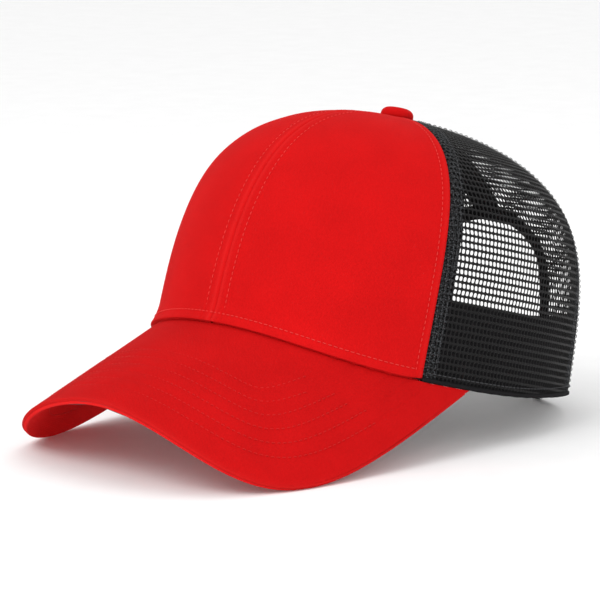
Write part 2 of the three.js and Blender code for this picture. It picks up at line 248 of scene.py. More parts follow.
def rear_angle(x, height=0.0):
    """The angle behind the ears where the crown has a given x at a height."""
    climb = climb_at_height(height)
    low = np.full(np.shape(x), np.pi / 2)
    high = np.full(np.shape(x), np.pi)
    for _ in range(40):
        middle = (low + high) / 2
        outside = crown_surface(middle, climb)[..., 0] > np.abs(x)
        low = np.where(outside, middle, low)
        high = np.where(outside, high, middle)
    return np.pi + np.sign(x) * ((low + high) / 2 - np.pi)


# ---- The visor's upper surface ----


def visor_sheet(x, y):
    reach = -y - CROWN_FRONT
    return VISOR_ROOT - VISOR_SLOPE * reach - (VISOR_ARCH * x**2 + VISOR_QUARTIC * x**4)


def visor_normal(x):
    lean = 2 * VISOR_ARCH * x + 4 * VISOR_QUARTIC * x**3
    return unit(np.stack([lean, np.full_like(lean, -VISOR_SLOPE), np.ones_like(lean)], axis=-1))


def rim_angle_at(x):
    """The angle ahead of the ears where the rim has a given x."""
    share = np.asarray(x, float) / CROWN_SIDE
    angle = np.arcsin(signed_power(share, PLAN_FRONT / 2))
    for _ in range(8):
        power = around(angle, PLAN_FRONT, (PLAN_FRONT + PLAN_BACK) / 2, PLAN_BACK)
        angle = np.arcsin(signed_power(share, power / 2))
    return angle


def visor_surface(sweep, inward):
    """sweep runs from -1 to 1 across the visor, and inward from 0 at its edge to 1 at the crown's rim."""
    corner_x, corner_y = plan_point(CORNER_ANGLE)
    turn = np.sign(sweep) * (1 - (1 - np.abs(sweep)) ** 1.6) * np.pi / 2
    side = signed_power(np.sin(turn), 2 / VISOR_SIDE_POWER)
    tip_y = -(CROWN_FRONT + VISOR_LENGTH)
    edge_y = corner_y + (tip_y - corner_y) * np.abs(np.cos(turn)) ** (2 / VISOR_FRONT_POWER)
    ending = np.clip((edge_y - tip_y) / (corner_y - tip_y), 0, 1) ** VISOR_END_POWER
    edge_x = VISOR_HALF * side * lerp(1, corner_x / VISOR_HALF, ending)
    root_angle = rim_angle_at(corner_x * side)
    root_x, root_y = plan_point(root_angle)
    x = lerp(edge_x, root_x, inward)
    y = lerp(edge_y, root_y, inward)
    root_drop = rim_height(root_angle) - visor_sheet(root_x, root_y)
    end_drop = RIM_CORNER - visor_sheet(corner_x, corner_y)
    z = visor_sheet(x, y) + root_drop * inward + end_drop * (1 - inward) * ending
    return np.stack([x, y, z], axis=-1)


# ---- Meshes ----


def add_object(name, data):
    made = bpy.data.objects.new(name, data)
    bpy.context.scene.collection.objects.link(made)
    return made


def make_piece(name, points, faces, look, slot, uv, wear_and_highlight=None, sharp=50):
    """A mesh piece from points of the cap's frame. uv is in millimetres of cloth, look is a key of LOOKS,
    and edges that turn by more than sharp, in degrees, are drawn sharp.
    """
    mesh = bpy.data.meshes.new(name)
    placed = place(points)
    placed[:, 2] = np.maximum(placed[:, 2], FLOOR_CLEARANCE)
    mesh.from_pydata(placed.tolist(), [], [list(map(int, face)) for face in faces])
    layer = mesh.uv_layers.new(name="UVMap")
    corners = np.zeros(len(mesh.loops), np.int32)
    mesh.loops.foreach_get("vertex_index", corners)
    layer.data.foreach_set("uv", np.asarray(uv, np.float32)[corners].ravel())
    # The attribute holds wear, and on the net the share of painted highlight flecks.
    if wear_and_highlight is not None:
        mesh.attributes.new("wear_and_highlight", "FLOAT", "POINT").data.foreach_set("value", np.asarray(wear_and_highlight, np.float32))
    shape = bmesh.new()
    shape.from_mesh(mesh)
    bmesh.ops.recalc_face_normals(shape, faces=shape.faces)
    shape.to_mesh(mesh)
    shape.free()
    mesh.shade_smooth()
    mesh.set_sharp_from_angle(angle=math.radians(sharp))
    mesh.materials.append(LOOKS[look])
    piece = add_object(name, mesh)
    return piece


def grid_faces(index, closed=False):
    """Quads between the neighbours in a grid of point numbers, closed round its rows if asked."""
    if closed:
        index = np.concatenate([index, index[:, :1]], axis=1)
    corners = [index[:-1, :-1], index[:-1, 1:], index[1:, 1:], index[1:, :-1]]
    return np.stack(corners, axis=-1).reshape(-1, 4).tolist()


def shell(outer, inner):
    """Points and faces of the closed sheet between two grids of points."""
    rows, columns = outer.shape[:2]
    points = np.concatenate([outer.reshape(-1, 3), inner.reshape(-1, 3)])
    front = np.arange(rows * columns).reshape(rows, columns)
    back = front + rows * columns
    faces = grid_faces(front) + grid_faces(back[:, ::-1])
    for edge in (np.s_[0, :], np.s_[-1, :], np.s_[:, 0], np.s_[:, -1]):
        faces += grid_faces(np.stack([front[edge], back[edge]]))
    return points, faces


def swept(sections):
    """Points and faces of a capped tube through closed sections, an array of stations by points."""
    stations, around_count = sections.shape[:2]
    index = np.arange(stations * around_count).reshape(stations, around_count)
    faces = grid_faces(index, closed=True)
    faces.append(index[0].tolist())
    faces.append(index[-1][::-1].tolist())
    return sections.reshape(-1, 3), faces


def weld(points, faces):
    """Joins points that coincide and drops faces left empty or doubled; also says which points stay."""
    _, first, joined = np.unique(np.round(points, 3), axis=0, return_index=True, return_inverse=True)
    joined = joined.ravel()
    kept = {}
    for face in faces:
        ring = [int(joined[corner]) for corner in face]
        ring = [corner for k, corner in enumerate(ring) if corner != ring[k - 1]]
        corners = frozenset(ring)
        if len(corners) == len(ring) > 2 and corners not in kept:
            kept[corners] = ring
    return points[first], list(kept.values()), first


def joined(parts):
    """Points and faces of several meshes as one."""
    points, faces, total = [], [], 0
    for some, their_faces in parts:
        points.append(some)
        faces += [[corner + total for corner in face] for face in their_faces]
        total += len(some)
    return np.concatenate(points), faces


def ride_cap(piece, *nodes):
    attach(piece, "cap")
    if nodes:
        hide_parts(*nodes)


def sheet_piece(name, node, outer, inner, look, slot, uv, wear_and_highlight=None, sharp=50):
    """The closed sheet between two grids, which share uv and wear, in the place of a CAD node."""
    points, faces = shell(outer, inner)
    if wear_and_highlight is not None:
        wear_and_highlight = np.tile(wear_and_highlight.ravel(), 2)
    ride_cap(make_piece(name, points, faces, look, slot, np.tile(uv, (2, 1)), wear_and_highlight, sharp), node)


def band_places(sections, line, across):
    """Places on a swept band's cloth: the run along one of its lines and the run across its section."""
    along = np.repeat(run_along(sections[:, line]), len(across))
    return np.stack([along, np.tile(across, len(sections))], axis=-1)


# ---- Stitches ----

STITCH_RINGS, STITCH_SIDES = 7, 6
STITCH_RISE, STITCH_SUNK, STITCH_FLAT = 0.34, 0.3, 1.15  # its arch, how deep its ends lie, and its flattening
NET_LIFT, RIM_LIFT, BINDING_LIFT = 0.3, 0.28, 0.52  # how far above the crown's surface the rows rest there


def stitch_pull(along, mean, swing):
    """How deep a row of stitches pulls the cloth in."""
    return mean + swing * np.cos(2 * np.pi * along / STITCH_PITCH)


def stitch_run(path, normals):
    """Points and faces of the stitches along a path on the cloth, each diving into it at both ends."""
    run = run_along(path)
    share = np.linspace(0, 1, STITCH_RINGS)
    arch = np.sin(np.pi * share) ** 0.55
    radius = THREAD_RADIUS * (0.72 + 0.28 * arch)
    turn = np.arange(STITCH_SIDES) * 2 * np.pi / STITCH_SIDES
    tubes = []
    for stitch in range(int(run[-1] / STITCH_PITCH)):
        stations = stitch * STITCH_PITCH + share * STITCH_LENGTH
        centre = np.stack([np.interp(stations, run, path[:, k]) for k in range(3)], axis=-1)
        up = unit(np.stack([np.interp(stations, run, normals[:, k]) for k in range(3)], axis=-1))
        along = unit(np.gradient(centre, axis=0))
        aside = unit(np.cross(along, up))
        centre = centre + up * (arch * STITCH_RISE - STITCH_SUNK)[:, None]
        across, upward = np.cos(turn)[None, :, None] * STITCH_FLAT, np.sin(turn)[None, :, None]
        ring = across * aside[:, None] + upward * up[:, None]
        tubes.append(swept(centre[:, None] + ring * radius[:, None, None]))
    return joined(tubes)


def stitches(name, runs, look, slot):
    """One piece with the stitches of several paths, each a pair of points and normals."""
    points, faces = joined([stitch_run(*run) for run in runs])
    number = np.arange(len(points))
    uv = np.stack([number / STITCH_SIDES * 0.4, number % STITCH_SIDES * 0.2], axis=-1)
    ride_cap(make_piece(name, points, faces, look, slot, uv))


def crown_run(angle, climb, height):
    """A stitch path on the crown, its resting height given outwards from the surface."""
    return crown_point(angle, climb, -height), crown_normal(angle, climb)


def flipped(run):
    return run[0], -run[1]


# ---- Materials ----


class Look:
    """A node material round one Principled shader; what is uniform is set on the shader itself."""

    def __init__(self, name, **sockets):
        self.material = bpy.data.materials.new(name)
        self.material.use_nodes = True
        self.tree = self.material.node_tree
        self.shader = self.tree.nodes["Principled BSDF"]
        for socket, value in sockets.items():
            self.shader.inputs[socket.replace("_", " ")].default_value = value

    def node(self, kind, inputs=None, **settings):
        made = self.tree.nodes.new("ShaderNode" + kind)
        for setting, value in settings.items():
            setattr(made, setting, value)
        for socket, value in (inputs or {}).items():
            if isinstance(value, bpy.types.NodeSocket):
                self.tree.links.new(value, made.inputs[socket])
            else:
                made.inputs[socket].default_value = value
        return made

    def cloth_place(self):
        """The place on the cloth in millimetres."""
        return self.node("UVMap", uv_map="UVMap").outputs["UV"]

    def object_place(self):
        return self.node("TexCoord").outputs["Object"]

    def math(self, operation, a, b):
        return self.node("Math", {0: a, 1: b}, operation=operation).outputs[0]

    def noise(self, place, scale, detail, roughness=0.55):
        inputs = {"Vector": place, "Scale": scale, "Detail": detail, "Roughness": roughness}
        return self.node("TexNoise", inputs).outputs["Fac"]

    def wave(self, place, period, direction, distortion):
        """Bands with a period in the units of the place."""
        per_unit = 10 if direction == "DIAGONAL" else 20
        inputs = {"Vector": place, "Scale": 2 * math.pi / per_unit / period, "Distortion": distortion}
        return self.node("TexWave", inputs, bands_direction=direction).outputs["Fac"]

    def between(self, factor, low, high):
        """A value scaled from 0..1 to low..high."""
        scaled = {"Value": factor, "To Min": low, "To Max": high}
        return self.node("MapRange", scaled).outputs["Result"]

    def ramp(self, factor, colour, low, high):
        """The colour scaled by a strength at one factor and by another at a higher one."""
        ramp = self.node("ValToRGB", {"Fac": factor})
        for element, (position, strength) in zip(ramp.color_ramp.elements, (low, high)):
            element.position = position
            element.color = (*shade(colour, strength), 1)
        return ramp.outputs["Color"]

    def mix(self, factor, field, colour):
        """The field's colour, which gives way to another where the factor is high."""
        inputs = {"Factor": factor, 6: field, 7: (*colour, 1)}
        return self.node("Mix", inputs, data_type="RGBA").outputs[2]

    # Wear, and on the net the share of painted highlight flecks, from the mesh attribute.
    def wear_and_highlight(self):
        return self.node("Attribute", attribute_name="wear_and_highlight").outputs["Fac"]

    def finish(self, colour, roughness=None, height=None, distance=0.0):
        """The material with its colour, roughness and a relief of a distance in millimetres."""
        normal = None
        if height is not None:
            normal = self.node("Bump", {"Height": height, "Distance": distance * MM}).outputs["Normal"]
        for socket, value in (("Base Color", colour), ("Roughness", roughness), ("Normal", normal)):
            if value is not None:
                self.tree.links.new(value, self.shader.inputs[socket])
        return self.material


def shade(colour, factor):
    return tuple(channel * factor for channel in colour)


def woven_cloth(name, colour, worn, yarn=0.42, twill=0.9, specular=0.08, sheen=0.03, bump=0.09):
    """Cotton twill: crossing yarns under a diagonal rib, uneven dye and paler worn edges."""
    tint = (*worn, 1)
    look = Look(name, Specular_IOR_Level=specular, Sheen_Weight=sheen, Sheen_Roughness=0.45, Sheen_Tint=tint)
    place_mm = look.cloth_place()
    warp = look.wave(place_mm, yarn, "X", 1.2)
    weft = look.wave(place_mm, yarn, "Y", 1.2)
    rib = look.wave(place_mm, twill, "DIAGONAL", 3.5)
    yarns = look.math("ADD", look.math("MULTIPLY", warp, weft), look.math("MULTIPLY", rib, 0.8))
    slub = look.noise(place_mm, 1.9, 2.0)
    height = look.math("ADD", yarns, look.math("MULTIPLY", slub, 0.7))
    dye = look.noise(look.object_place(), 38.0, 5.0, 0.6)
    fleck = look.noise(place_mm, 0.9, 4.0, 0.7)
    tone = look.math("ADD", look.math("MULTIPLY", dye, 0.5), look.math("MULTIPLY", fleck, 0.5))
    base = look.ramp(tone, colour, (0.35, 0.88), (0.65, 1.08))
    yarn_tint = look.mix(look.between(yarns, 0.0, 0.16), base, shade(colour, 0.62))
    lit = look.mix(look.math("MULTIPLY", look.wear_and_highlight(), 0.5), yarn_tint, worn)
    roughness = look.between(slub, 0.82, 0.96)
    return look.finish(lit, roughness, height, bump)


def thread(name, colour, specular=0.2, sheen=0.05):
    """Twisted sewing thread."""
    look = Look(name, Specular_IOR_Level=specular, Sheen_Weight=sheen)
    place_mm = look.cloth_place()
    ply = look.wave(place_mm, 0.35, "DIAGONAL", 0.3)
    tint = look.ramp(ply, colour, (0.1, 0.7), (0.7, 1))
    return look.finish(tint, look.between(ply, 0.5, 0.7), ply, 0.05)


def net_yarn(name, colour, rub_and_highlight):
    """Knitted polyester yarn: fine wound filaments, and pale flecks beside the seams, a painted highlight on
    the strands.
    """
    look = Look(name, Specular_IOR_Level=0.16, Sheen_Weight=0.02)
    place_mm = look.cloth_place()
    filament = look.wave(place_mm, 0.4, "DIAGONAL", 1.5)
    knot = look.noise(place_mm, 2.6, 3.0)
    height = look.math("ADD", look.math("MULTIPLY", filament, 0.6), knot)
    batch = look.noise(look.object_place(), 60.0, 3.0)
    base = look.ramp(batch, colour, (0.3, 0.85), (0.7, 1.2))
    tint = look.mix(look.between(filament, 0.0, 0.35), base, shade(colour, 0.5))
    # Painted highlight: pale flecks of the second colour where the share beside the seams is high.
    over = look.math("MAXIMUM", look.math("SUBTRACT", look.noise(place_mm, 1.5, 2.0), 0.5), 0.0)
    highlight_flecks = look.math("MULTIPLY", look.math("MULTIPLY", over, 6.0), look.wear_and_highlight())
    with_highlights = look.mix(highlight_flecks, tint, rub_and_highlight)
    return look.finish(with_highlights, look.between(knot, 0.42, 0.62), height, 0.12)


def open_buckram(name, colour):
    """Stiffened open weave: square yarns with glue between them."""
    look = Look(name, Specular_IOR_Level=0.25)
    place_mm = look.cloth_place()
    warp = look.wave(place_mm, 1.1, "X", 0.3)
    weft = look.wave(place_mm, 1.1, "Y", 0.3)
    yarns = look.math("MAXIMUM", warp, weft)
    stain = look.noise(look.object_place(), 25.0, 4.0)
    base = look.ramp(stain, colour, (0.3, 0.92), (0.75, 1))
    tint = look.mix(look.between(yarns, 0.4, 0.0), base, shade(colour, 0.55))
    return look.finish(tint, look.between(stain, 0.75, 0.95), yarns, 0.25)


def moulded_plastic(name, colour, roughness):
    """Injection-moulded plastic with flow marks, fine scratches and rubbed edges."""
    look = Look(name, Specular_IOR_Level=0.4)
    place_object = look.object_place()
    flow = look.noise(place_object, 180.0, 4.0)
    scratch = look.noise(place_object, 2600.0, 2.0, 0.7)
    base = look.ramp(flow, colour, (0.3, 0.8), (0.7, 1.25))
    tint = look.mix(look.math("MULTIPLY", look.wear_and_highlight(), 0.6), base, shade(colour, 3.2))
    uneven = look.math("ADD", flow, look.math("MULTIPLY", scratch, 0.3))
    return look.finish(tint, look.between(uneven, roughness, roughness + 0.3), scratch, 0.03)


def pressed_metal(name, colour):
    """Painted pressed steel with brushed rings and small chips."""
    look = Look(name, Metallic=0.85, Specular_IOR_Level=0.5)
    place_mm = look.cloth_place()
    brushed = look.wave(place_mm, 0.5, "Y", 1.0)
    chips = look.noise(look.object_place(), 900.0, 4.0, 0.7)
    tint = look.ramp(chips, colour, (0.35, 0.6), (0.55, 1))
    return look.finish(tint, look.between(chips, 0.3, 0.55), brushed, 0.04)


def pressed_board(name, colour):
    """Recycled board: speckled fibres and a slightly glazed face."""
    look = Look(name, Specular_IOR_Level=0.3)
    place_object = look.object_place()
    fibres = look.noise(place_object, 900.0, 5.0, 0.7)
    blotch = look.noise(place_object, 90.0, 3.0)
    base = look.ramp(fibres, colour, (0.35, 0.6), (0.65, 1.4))
    return look.finish(base, look.between(blotch, 0.5, 0.75), fibres, 0.2)


RED = (0.60, 0.0058, 0.0064)
# Painted shade: the visor's top is the front's red cloth, darkened to offset the stronger lamplight on its
# upturned face.
SHADED_VISOR_RED = (0.52, 0.0054, 0.0060)
# Painted light: the visor's underside is the same red cloth, made paler to lift the shade under the visor.
LIT_UNDER_RED = (0.72, 0.012, 0.0125)
BLACK = (0.0125, 0.0118, 0.0128)
LOOKS = {
    "red_cloth": woven_cloth("red_cloth", RED, (0.74, 0.022, 0.021), specular=0.05, sheen=0.015),
    # The visor's top: a shaded copy of the red cloth, with its worn tint darkened too.
    "visor_cloth": woven_cloth("visor_cloth", SHADED_VISOR_RED, (0.62, 0.017, 0.016), specular=0.04, sheen=0.01),
    # The visor's underside: a lit copy of the red cloth.
    "under_cloth": woven_cloth("under_cloth", LIT_UNDER_RED, (0.74, 0.02, 0.019), specular=0.04, sheen=0.01),
    "black_tape": woven_cloth("black_tape", BLACK, (0.05, 0.05, 0.052), yarn=0.6, twill=1.4, bump=0.14),
    # Painted light: the sweatband's black cloth, lifted 1.7 times to offset the net's shadow over it.
    "black_band": woven_cloth("black_band", shade(BLACK, 1.7), (0.035, 0.035, 0.037), yarn=0.5, twill=1.1),
    # The front's thread is paler than its cloth: partly the thread's own colour, partly a painted sheen on
    # the stitches.
    "red_thread": thread("red_thread", (0.82, 0.05, 0.045), specular=0.1, sheen=0.0),
    # Painted light: paler than tone-on-tone, to offset the shadow in the stitched valleys.
    "lit_visor_thread": thread("lit_visor_thread", (0.63, 0.020, 0.019), specular=0.05, sheen=0.0),
    "black_thread": thread("black_thread", (0.055, 0.056, 0.06)),
    # The net's second colour is a painted highlight: pale flecks on the strands beside its seams.
    "net": net_yarn("net", (0.0070, 0.0065, 0.0069), (0.085, 0.092, 0.10)),
    "buckram": open_buckram("buckram", (0.74, 0.72, 0.67)),
    "plastic": moulded_plastic("plastic", (0.010, 0.010, 0.0108), 0.35),
    "metal": pressed_metal("metal", (0.55, 0.56, 0.58)),
    "board": pressed_board("board", (0.022, 0.022, 0.024)),
}


# ---- Cloth relief beside seams ----


def seam_relief(distance, row, along, swell=0.18, groove=0.45):
    """Outward relief beside a seam: the fold, the allowance under the cloth, and the stitched valley."""
    fold = -groove * bell(distance, 0.5)
    over = smoothstep(distance, 0.2, 1.7) * (1 - smoothstep(distance, row + 0.3, row + 2.4))
    valley = -stitch_pull(along, 0.30, 0.10) * bell(distance - row, 0.6)
    pucker = 0.07 * np.cos(2 * np.pi * along / STITCH_PITCH + 0.6) * smoothstep(distance, 0.6, 2.0)
    pucker = pucker * (1 - smoothstep(distance, row - 1.0, row + 3.0))
    return fold + swell * over + valley + pucker


DENSE_LENGTH, PANEL_LENGTH = 12, 152  # a panel's finely divided foot and its whole height


class PanelGrid:
    """Angles and climbs over a crown panel, in columns that stay dense beside its two seams."""

    def __init__(self, start, end, edge_steps, middle_count, shares):
        fine = np.linspace(start, end, 241)
        rows = []
        for share in shares:
            row = lerp(low_climb(fine), climb_at_radius(fine, TIP_RADIUS), share)
            run = run_along(crown_surface(fine, row))
            edge = edge_steps * min(1, run[-1] / (2.6 * edge_steps[-1]))  # closer where the panel is narrow
            middle = np.linspace(edge[-1], run[-1] - edge[-1], middle_count + 2)[1:-1]
            stations = np.concatenate([edge, middle, run[-1] - edge[::-1]])
            angle, climb = (np.interp(stations, run, values) for values in (fine, row))
            rows.append([angle, climb, stations, run[-1] - stations])
        self.angle, self.climb, self.from_start, self.from_end = np.array(rows).swapaxes(0, 1)
        surface = crown_surface(self.angle, self.climb)
        steps = np.linalg.norm(np.diff(surface, axis=0), axis=-1)
        self.up = np.concatenate([np.zeros((1, surface.shape[1])), np.cumsum(steps, axis=0)])
        self.across = self.from_start - (self.from_start + self.from_end)[:, :1] / 2


def row_shares(dense_step, step):
    """Shares of a panel's height, denser beside the rim."""
    dense = np.arange(0, DENSE_LENGTH, dense_step)
    rest = np.linspace(DENSE_LENGTH, PANEL_LENGTH, int((PANEL_LENGTH - DENSE_LENGTH) / step))
    return np.concatenate([dense, rest]) / PANEL_LENGTH


def span(side, start, end):
    return (start, end) if side > 0 else (-end, -start)


# ---- Front panels ----

LIP_HEIGHT, LIP_FLARE = 10.0, 2.5
RIM_RADIUS = 95  # a round value for the rim over the visor
BUCKRAM_DEPTHS = (1.4, 2.15)  # of the stiffener's two faces under the crown's surface
LIP_LIFT, LIP_SKIRT = 1.0, 0.9  # the fold stands off the visor outside, and its inner ply comes down to it


def lip(up, from_flank):
    """How far the bottom of the front panels turns out over the visor."""
    share = fading(up, LIP_HEIGHT) ** 1.7
    return LIP_FLARE * share * smoothstep(from_flank, -4, 12)


def lip_point(angle, climb, depth, up, from_flank):
    flare = lip(up, from_flank)
    points = crown_point(angle, climb, depth - flare)
    points[..., 2] -= 0.45 * flare
    return points


def add_front_panels():
    shares = row_shares(0.5, 0.78)
    for hand, side in SIDES:
        grid = PanelGrid(*span(side, 0, FRONT_SEAM), np.linspace(0, 8.5, 20), 46, shares)
        centre, flank = (grid.from_start, grid.from_end)[::side]
        relief = seam_relief(centre, CENTRE_ROW, grid.up) + seam_relief(flank, FLANK_ROW, grid.up)
        relief -= stitch_pull(centre, 0.26, 0.09) * bell(grid.up - BOTTOM_ROW, 0.6)
        away = smoothstep(centre, 2, 22) * smoothstep(flank, 2, 22)
        relief += 0.16 * ripple(centre * side, grid.up, 11) * away
        rolled = fading(grid.up, 1.5) ** 2 + 1.7 * fading(grid.up, 0.5)
        outer = lip_point(grid.angle, grid.climb, rolled - relief, grid.up, flank)
        outer[..., 2] += LIP_LIFT * fading(grid.up, 3)
        ply = 1.5 + 1.6 * fading(grid.up, 3)
        inner = lip_point(grid.angle, grid.climb, ply, grid.up, flank)
        inner[..., 2] -= LIP_SKIRT * fading(grid.up, 2)
        wear_and_highlight = 0.6 * bell(centre - 1.6, 1) + 0.5 * bell(grid.up, 0.8) + 0.4 * bell(flank - 1.4, 0.9)
        sheet_piece(
            "front_cloth_" + hand, "front_panel_" + hand, outer, inner, "red_cloth", "front_cloth",
            flat_places(grid.across, grid.up), wear_and_highlight,
        )


ROW_TOP, ROW_SPREAD = 0.955, math.radians(24)  # a row ends at this share of the height or this turn


def meridian(seam, width, low_up=1.5):
    """Angles and climbs of a line that keeps a width beside a seam, from the rim to near the pole."""
    share = np.linspace(0, ROW_TOP, 500)
    climb = lerp(low_climb(seam), climb_at_radius(seam, TIP_RADIUS), share)
    turn = angle_of_width(width, seam, climb)
    for _ in range(3):
        turn = angle_of_width(width, seam + turn / 2, climb)
    keep = np.abs(turn) < ROW_SPREAD
    keep &= crown_surface(seam, climb)[:, 2] - rim_height(seam) > low_up
    return (seam + turn)[keep], climb[keep]


def add_front_stitches():
    runs = []
    for side in (1, -1):
        runs.append(crown_run(*meridian(0.0, side * CENTRE_ROW), 0.02))
        runs.append(crown_run(*meridian(side * FRONT_SEAM, -side * FLANK_ROW), 0.02))
    end = FRONT_SEAM - math.radians(1.2)
    angle = np.linspace(-end, end, 400)
    climb = climb_over_rim(angle, GAP + BOTTOM_ROW)
    from_flank = (FRONT_SEAM - np.abs(angle)) * RIM_RADIUS
    runs.append((lip_point(angle, climb, 0.03, BOTTOM_ROW, from_flank), crown_normal(angle, climb)))
    stitches("front_stitching", runs, "red_thread", "front_cloth")


def add_buckrams():
    shares = row_shares(2, 2.2)[1:]
    for hand, side in SIDES:
        grid = PanelGrid(*span(side, 0, FRONT_SEAM), np.linspace(0, 8, 6), 34, shares)
        wave = 0.12 * ripple(grid.across, grid.up, 23)
        thin = 0.3 * bell(np.minimum(grid.from_start, grid.from_end), 1)
        outer = crown_point(grid.angle, grid.climb, BUCKRAM_DEPTHS[0] + thin - 0.2 * np.abs(wave))
        inner = crown_point(grid.angle, grid.climb, BUCKRAM_DEPTHS[1] - thin + wave)
        sheet_piece(
            "buckram_sheet_" + hand, "buckram_" + hand, outer, inner, "buckram", "stiffener",
            flat_places(grid.across, grid.up),
        )


# ---- Net panels ----

NET_X, NET_Y = 2.05, 2.95  # the net's repeat across and up
NET_HOLE = (0.345, 0.335)  # half sizes of a hole, as shares of the repeat
NET_LEAN = 0.17  # how far a row's holes lean, to the left and to the right by turns
BAR_THICK, STRAND_THICK = 0.31, 0.22  # half thickness of the bars between rows, of the strands between holes
NET_DEPTH = 0.55
ALLOWANCE_DEPTH, ALLOWANCE_WIDTH = 1.2, 6.4  # the net's cut edge, turned back behind it at every seam
ARCH_HEM = 3.0  # the net ends this far outside the arch's outline, under its binding
SEAM_CLEARANCE = 0.06  # each panel of net stops this far short of its seams
HOLE_POWER, SHOULDER = 0.72, 0.62  # an ellipse has power 1; the strands' shoulder, from border to hole
ROW_MARGIN = 0.004  # in climb: a cell stays when its middle is at most this far below the rim
CELL_RINGS, CELL_SIDES = 4, 12


def net_template():
    """The rings of one cell, from its border on the outer face, over the yarn and round to the inner face."""
    side = [(-1 / 2, -1 / 2), (-1 / 6, -1 / 2), (1 / 6, -1 / 2)]
    border = []
    for quarter in range(4):
        c, s = round(math.cos(quarter * math.pi / 2)), round(math.sin(quarter * math.pi / 2))
        border += [(u * c - v * s, u * s + v * c) for u, v in side]
    border = np.array(border)
    heading = np.arctan2(border[:, 1], border[:, 0])
    hole = signed_power(np.stack([np.cos(heading), np.sin(heading)], axis=-1), HOLE_POWER) * NET_HOLE
    thick = np.where(np.abs(border[:, 1]) > 0.4, BAR_THICK, STRAND_THICK)
    shoulder = lerp(border, hole, SHOULDER)
    rings = [(border, -1), (shoulder, -0.8), (hole, 0), (border, 1)]
    return np.concatenate([np.column_stack([flat, share * thick]) for flat, share in rings])


def in_arch(x, z, grow):
    """Whether places behind the ears lie in the arch's opening, grown by a width."""
    across = x / (ARCH_HALF + grow)
    above = (z - ARCH_SPRINGING) / (ARCH_RISE + grow)
    return (np.abs(across) < 1) & ((above < 0) | (np.hypot(across, above) < 1))


def net_climb(centre):
    """The climb at a distance up the panel's middle line from the rim plane."""
    fine = np.linspace(climb_at_height(-6.0), climb_at_radius(centre, TIP_RADIUS), 800)
    run = run_along(crown_surface(centre, fine))
    run -= np.interp(0.0, fine, run)
    return lambda up: np.interp(up, run, fine), run[-1]


def net_points(start, end, climb_of, across, up):
    """Angle, climb and the distances to both seams, for points at one distance up the panel."""
    fine = np.linspace(start, end, 121)
    climb = climb_of(up)
    run = run_along(crown_surface(fine, climb))
    half = run[-1] / 2
    place_mm = np.clip(across + half, SEAM_CLEARANCE, run[-1] - SEAM_CLEARANCE)
    angle = np.interp(place_mm, run, fine)
    return angle, np.maximum(climb, low_climb(angle)), place_mm, run[-1] - place_mm, half


def net_cells(start, end, hold_arch, depth=NET_DEPTH, offset=0.0, strip=None):
    """Points, cloth places and painted highlight shares of a net panel, or only of the strips of a width
    beside its seams.
    """
    climb_of, height = net_climb((start + end) / 2)
    template = net_template()
    points, uv, highlight_shares = [], [], []
    for row in range(-2, int(height / NET_Y)):
        middle_up = (row + 0.5 + offset) * NET_Y
        *_, half = net_points(start, end, climb_of, np.zeros(1), middle_up)
        columns = (np.arange(-int(half / NET_X) - 1, int(half / NET_X) + 2) + offset) * NET_X
        columns = columns[np.abs(columns) < half + 0.3 * NET_X]
        angle, climb, from_start, from_end, _ = net_points(start, end, climb_of, columns, middle_up)
        centre = crown_surface(angle, climb)
        keep = climb_of(middle_up) > low_climb(angle) - ROW_MARGIN
        if hold_arch:
            keep &= (centre[:, 1] <= 0) | ~in_arch(centre[:, 0], centre[:, 2], ARCH_HEM)
        if strip:
            keep &= np.minimum(from_start, from_end) < strip
        columns = columns[keep]
        lean = NET_LEAN * (1 if row % 2 else -1)
        cell, flat, highlight_share = (np.zeros((len(columns), len(template), size)) for size in (3, 2, 1))
        for corner, (u, v, thick) in enumerate(template):
            up = middle_up + v * NET_Y
            across = columns + (u + lean * v) * NET_X
            angle, climb, from_start, from_end, _ = net_points(start, end, climb_of, across, up)
            hem = sum(seam_relief(distance, NET_ROW, 0, 0.3, 0.5) for distance in (from_start, from_end))
            cell[:, corner] = crown_point(angle, climb, depth + thick - hem)
            flat[:, corner] = np.stack([across, np.full_like(across, up)], axis=-1)
            beside = np.minimum(from_start, from_end)
            # The share of painted highlight flecks: 1 beside the seams, fading out past the allowance.
            highlight_share[:, corner, 0] = 1 - smoothstep(beside, ALLOWANCE_WIDTH - 1, ALLOWANCE_WIDTH + 1)
        points.append(cell.reshape(-1, 3))
        uv.append(flat.reshape(-1, 2))
        highlight_shares.append(highlight_share.ravel())
    return np.concatenate(points), np.concatenate(uv), np.concatenate(highlight_shares)


def net_piece(name, cells):
    points, uv, highlight_share = cells
    size = CELL_RINGS * CELL_SIDES
    cell_faces = np.array(grid_faces(np.arange(size).reshape(CELL_RINGS, CELL_SIDES), closed=True))
    starts = np.arange(len(points) // size)[:, None, None] * size
    points, faces, first = weld(points, (starts + cell_faces[None]).reshape(-1, 4).tolist())
    return make_piece(name, points, faces, "net", "mesh_net", uv[first], highlight_share[first], sharp=180)


def add_net_panels():
    panels = [("side", FRONT_SEAM, BACK_SEAM, False), ("back", BACK_SEAM, math.pi, True)]
    for kind, start, end, hold_arch in panels:
        for hand, side in SIDES:
            ends = span(side, start, end)
            panel = net_piece(f"{kind}_net_{hand}", net_cells(*ends, hold_arch))
            ride_cap(panel, f"{kind}_mesh_{hand}")
            strips = net_cells(*ends, hold_arch, ALLOWANCE_DEPTH, 0.5, ALLOWANCE_WIDTH)
            ride_cap(net_piece(f"{kind}_net_allowance_{hand}", strips))


# ---- Rim fold under the net ----

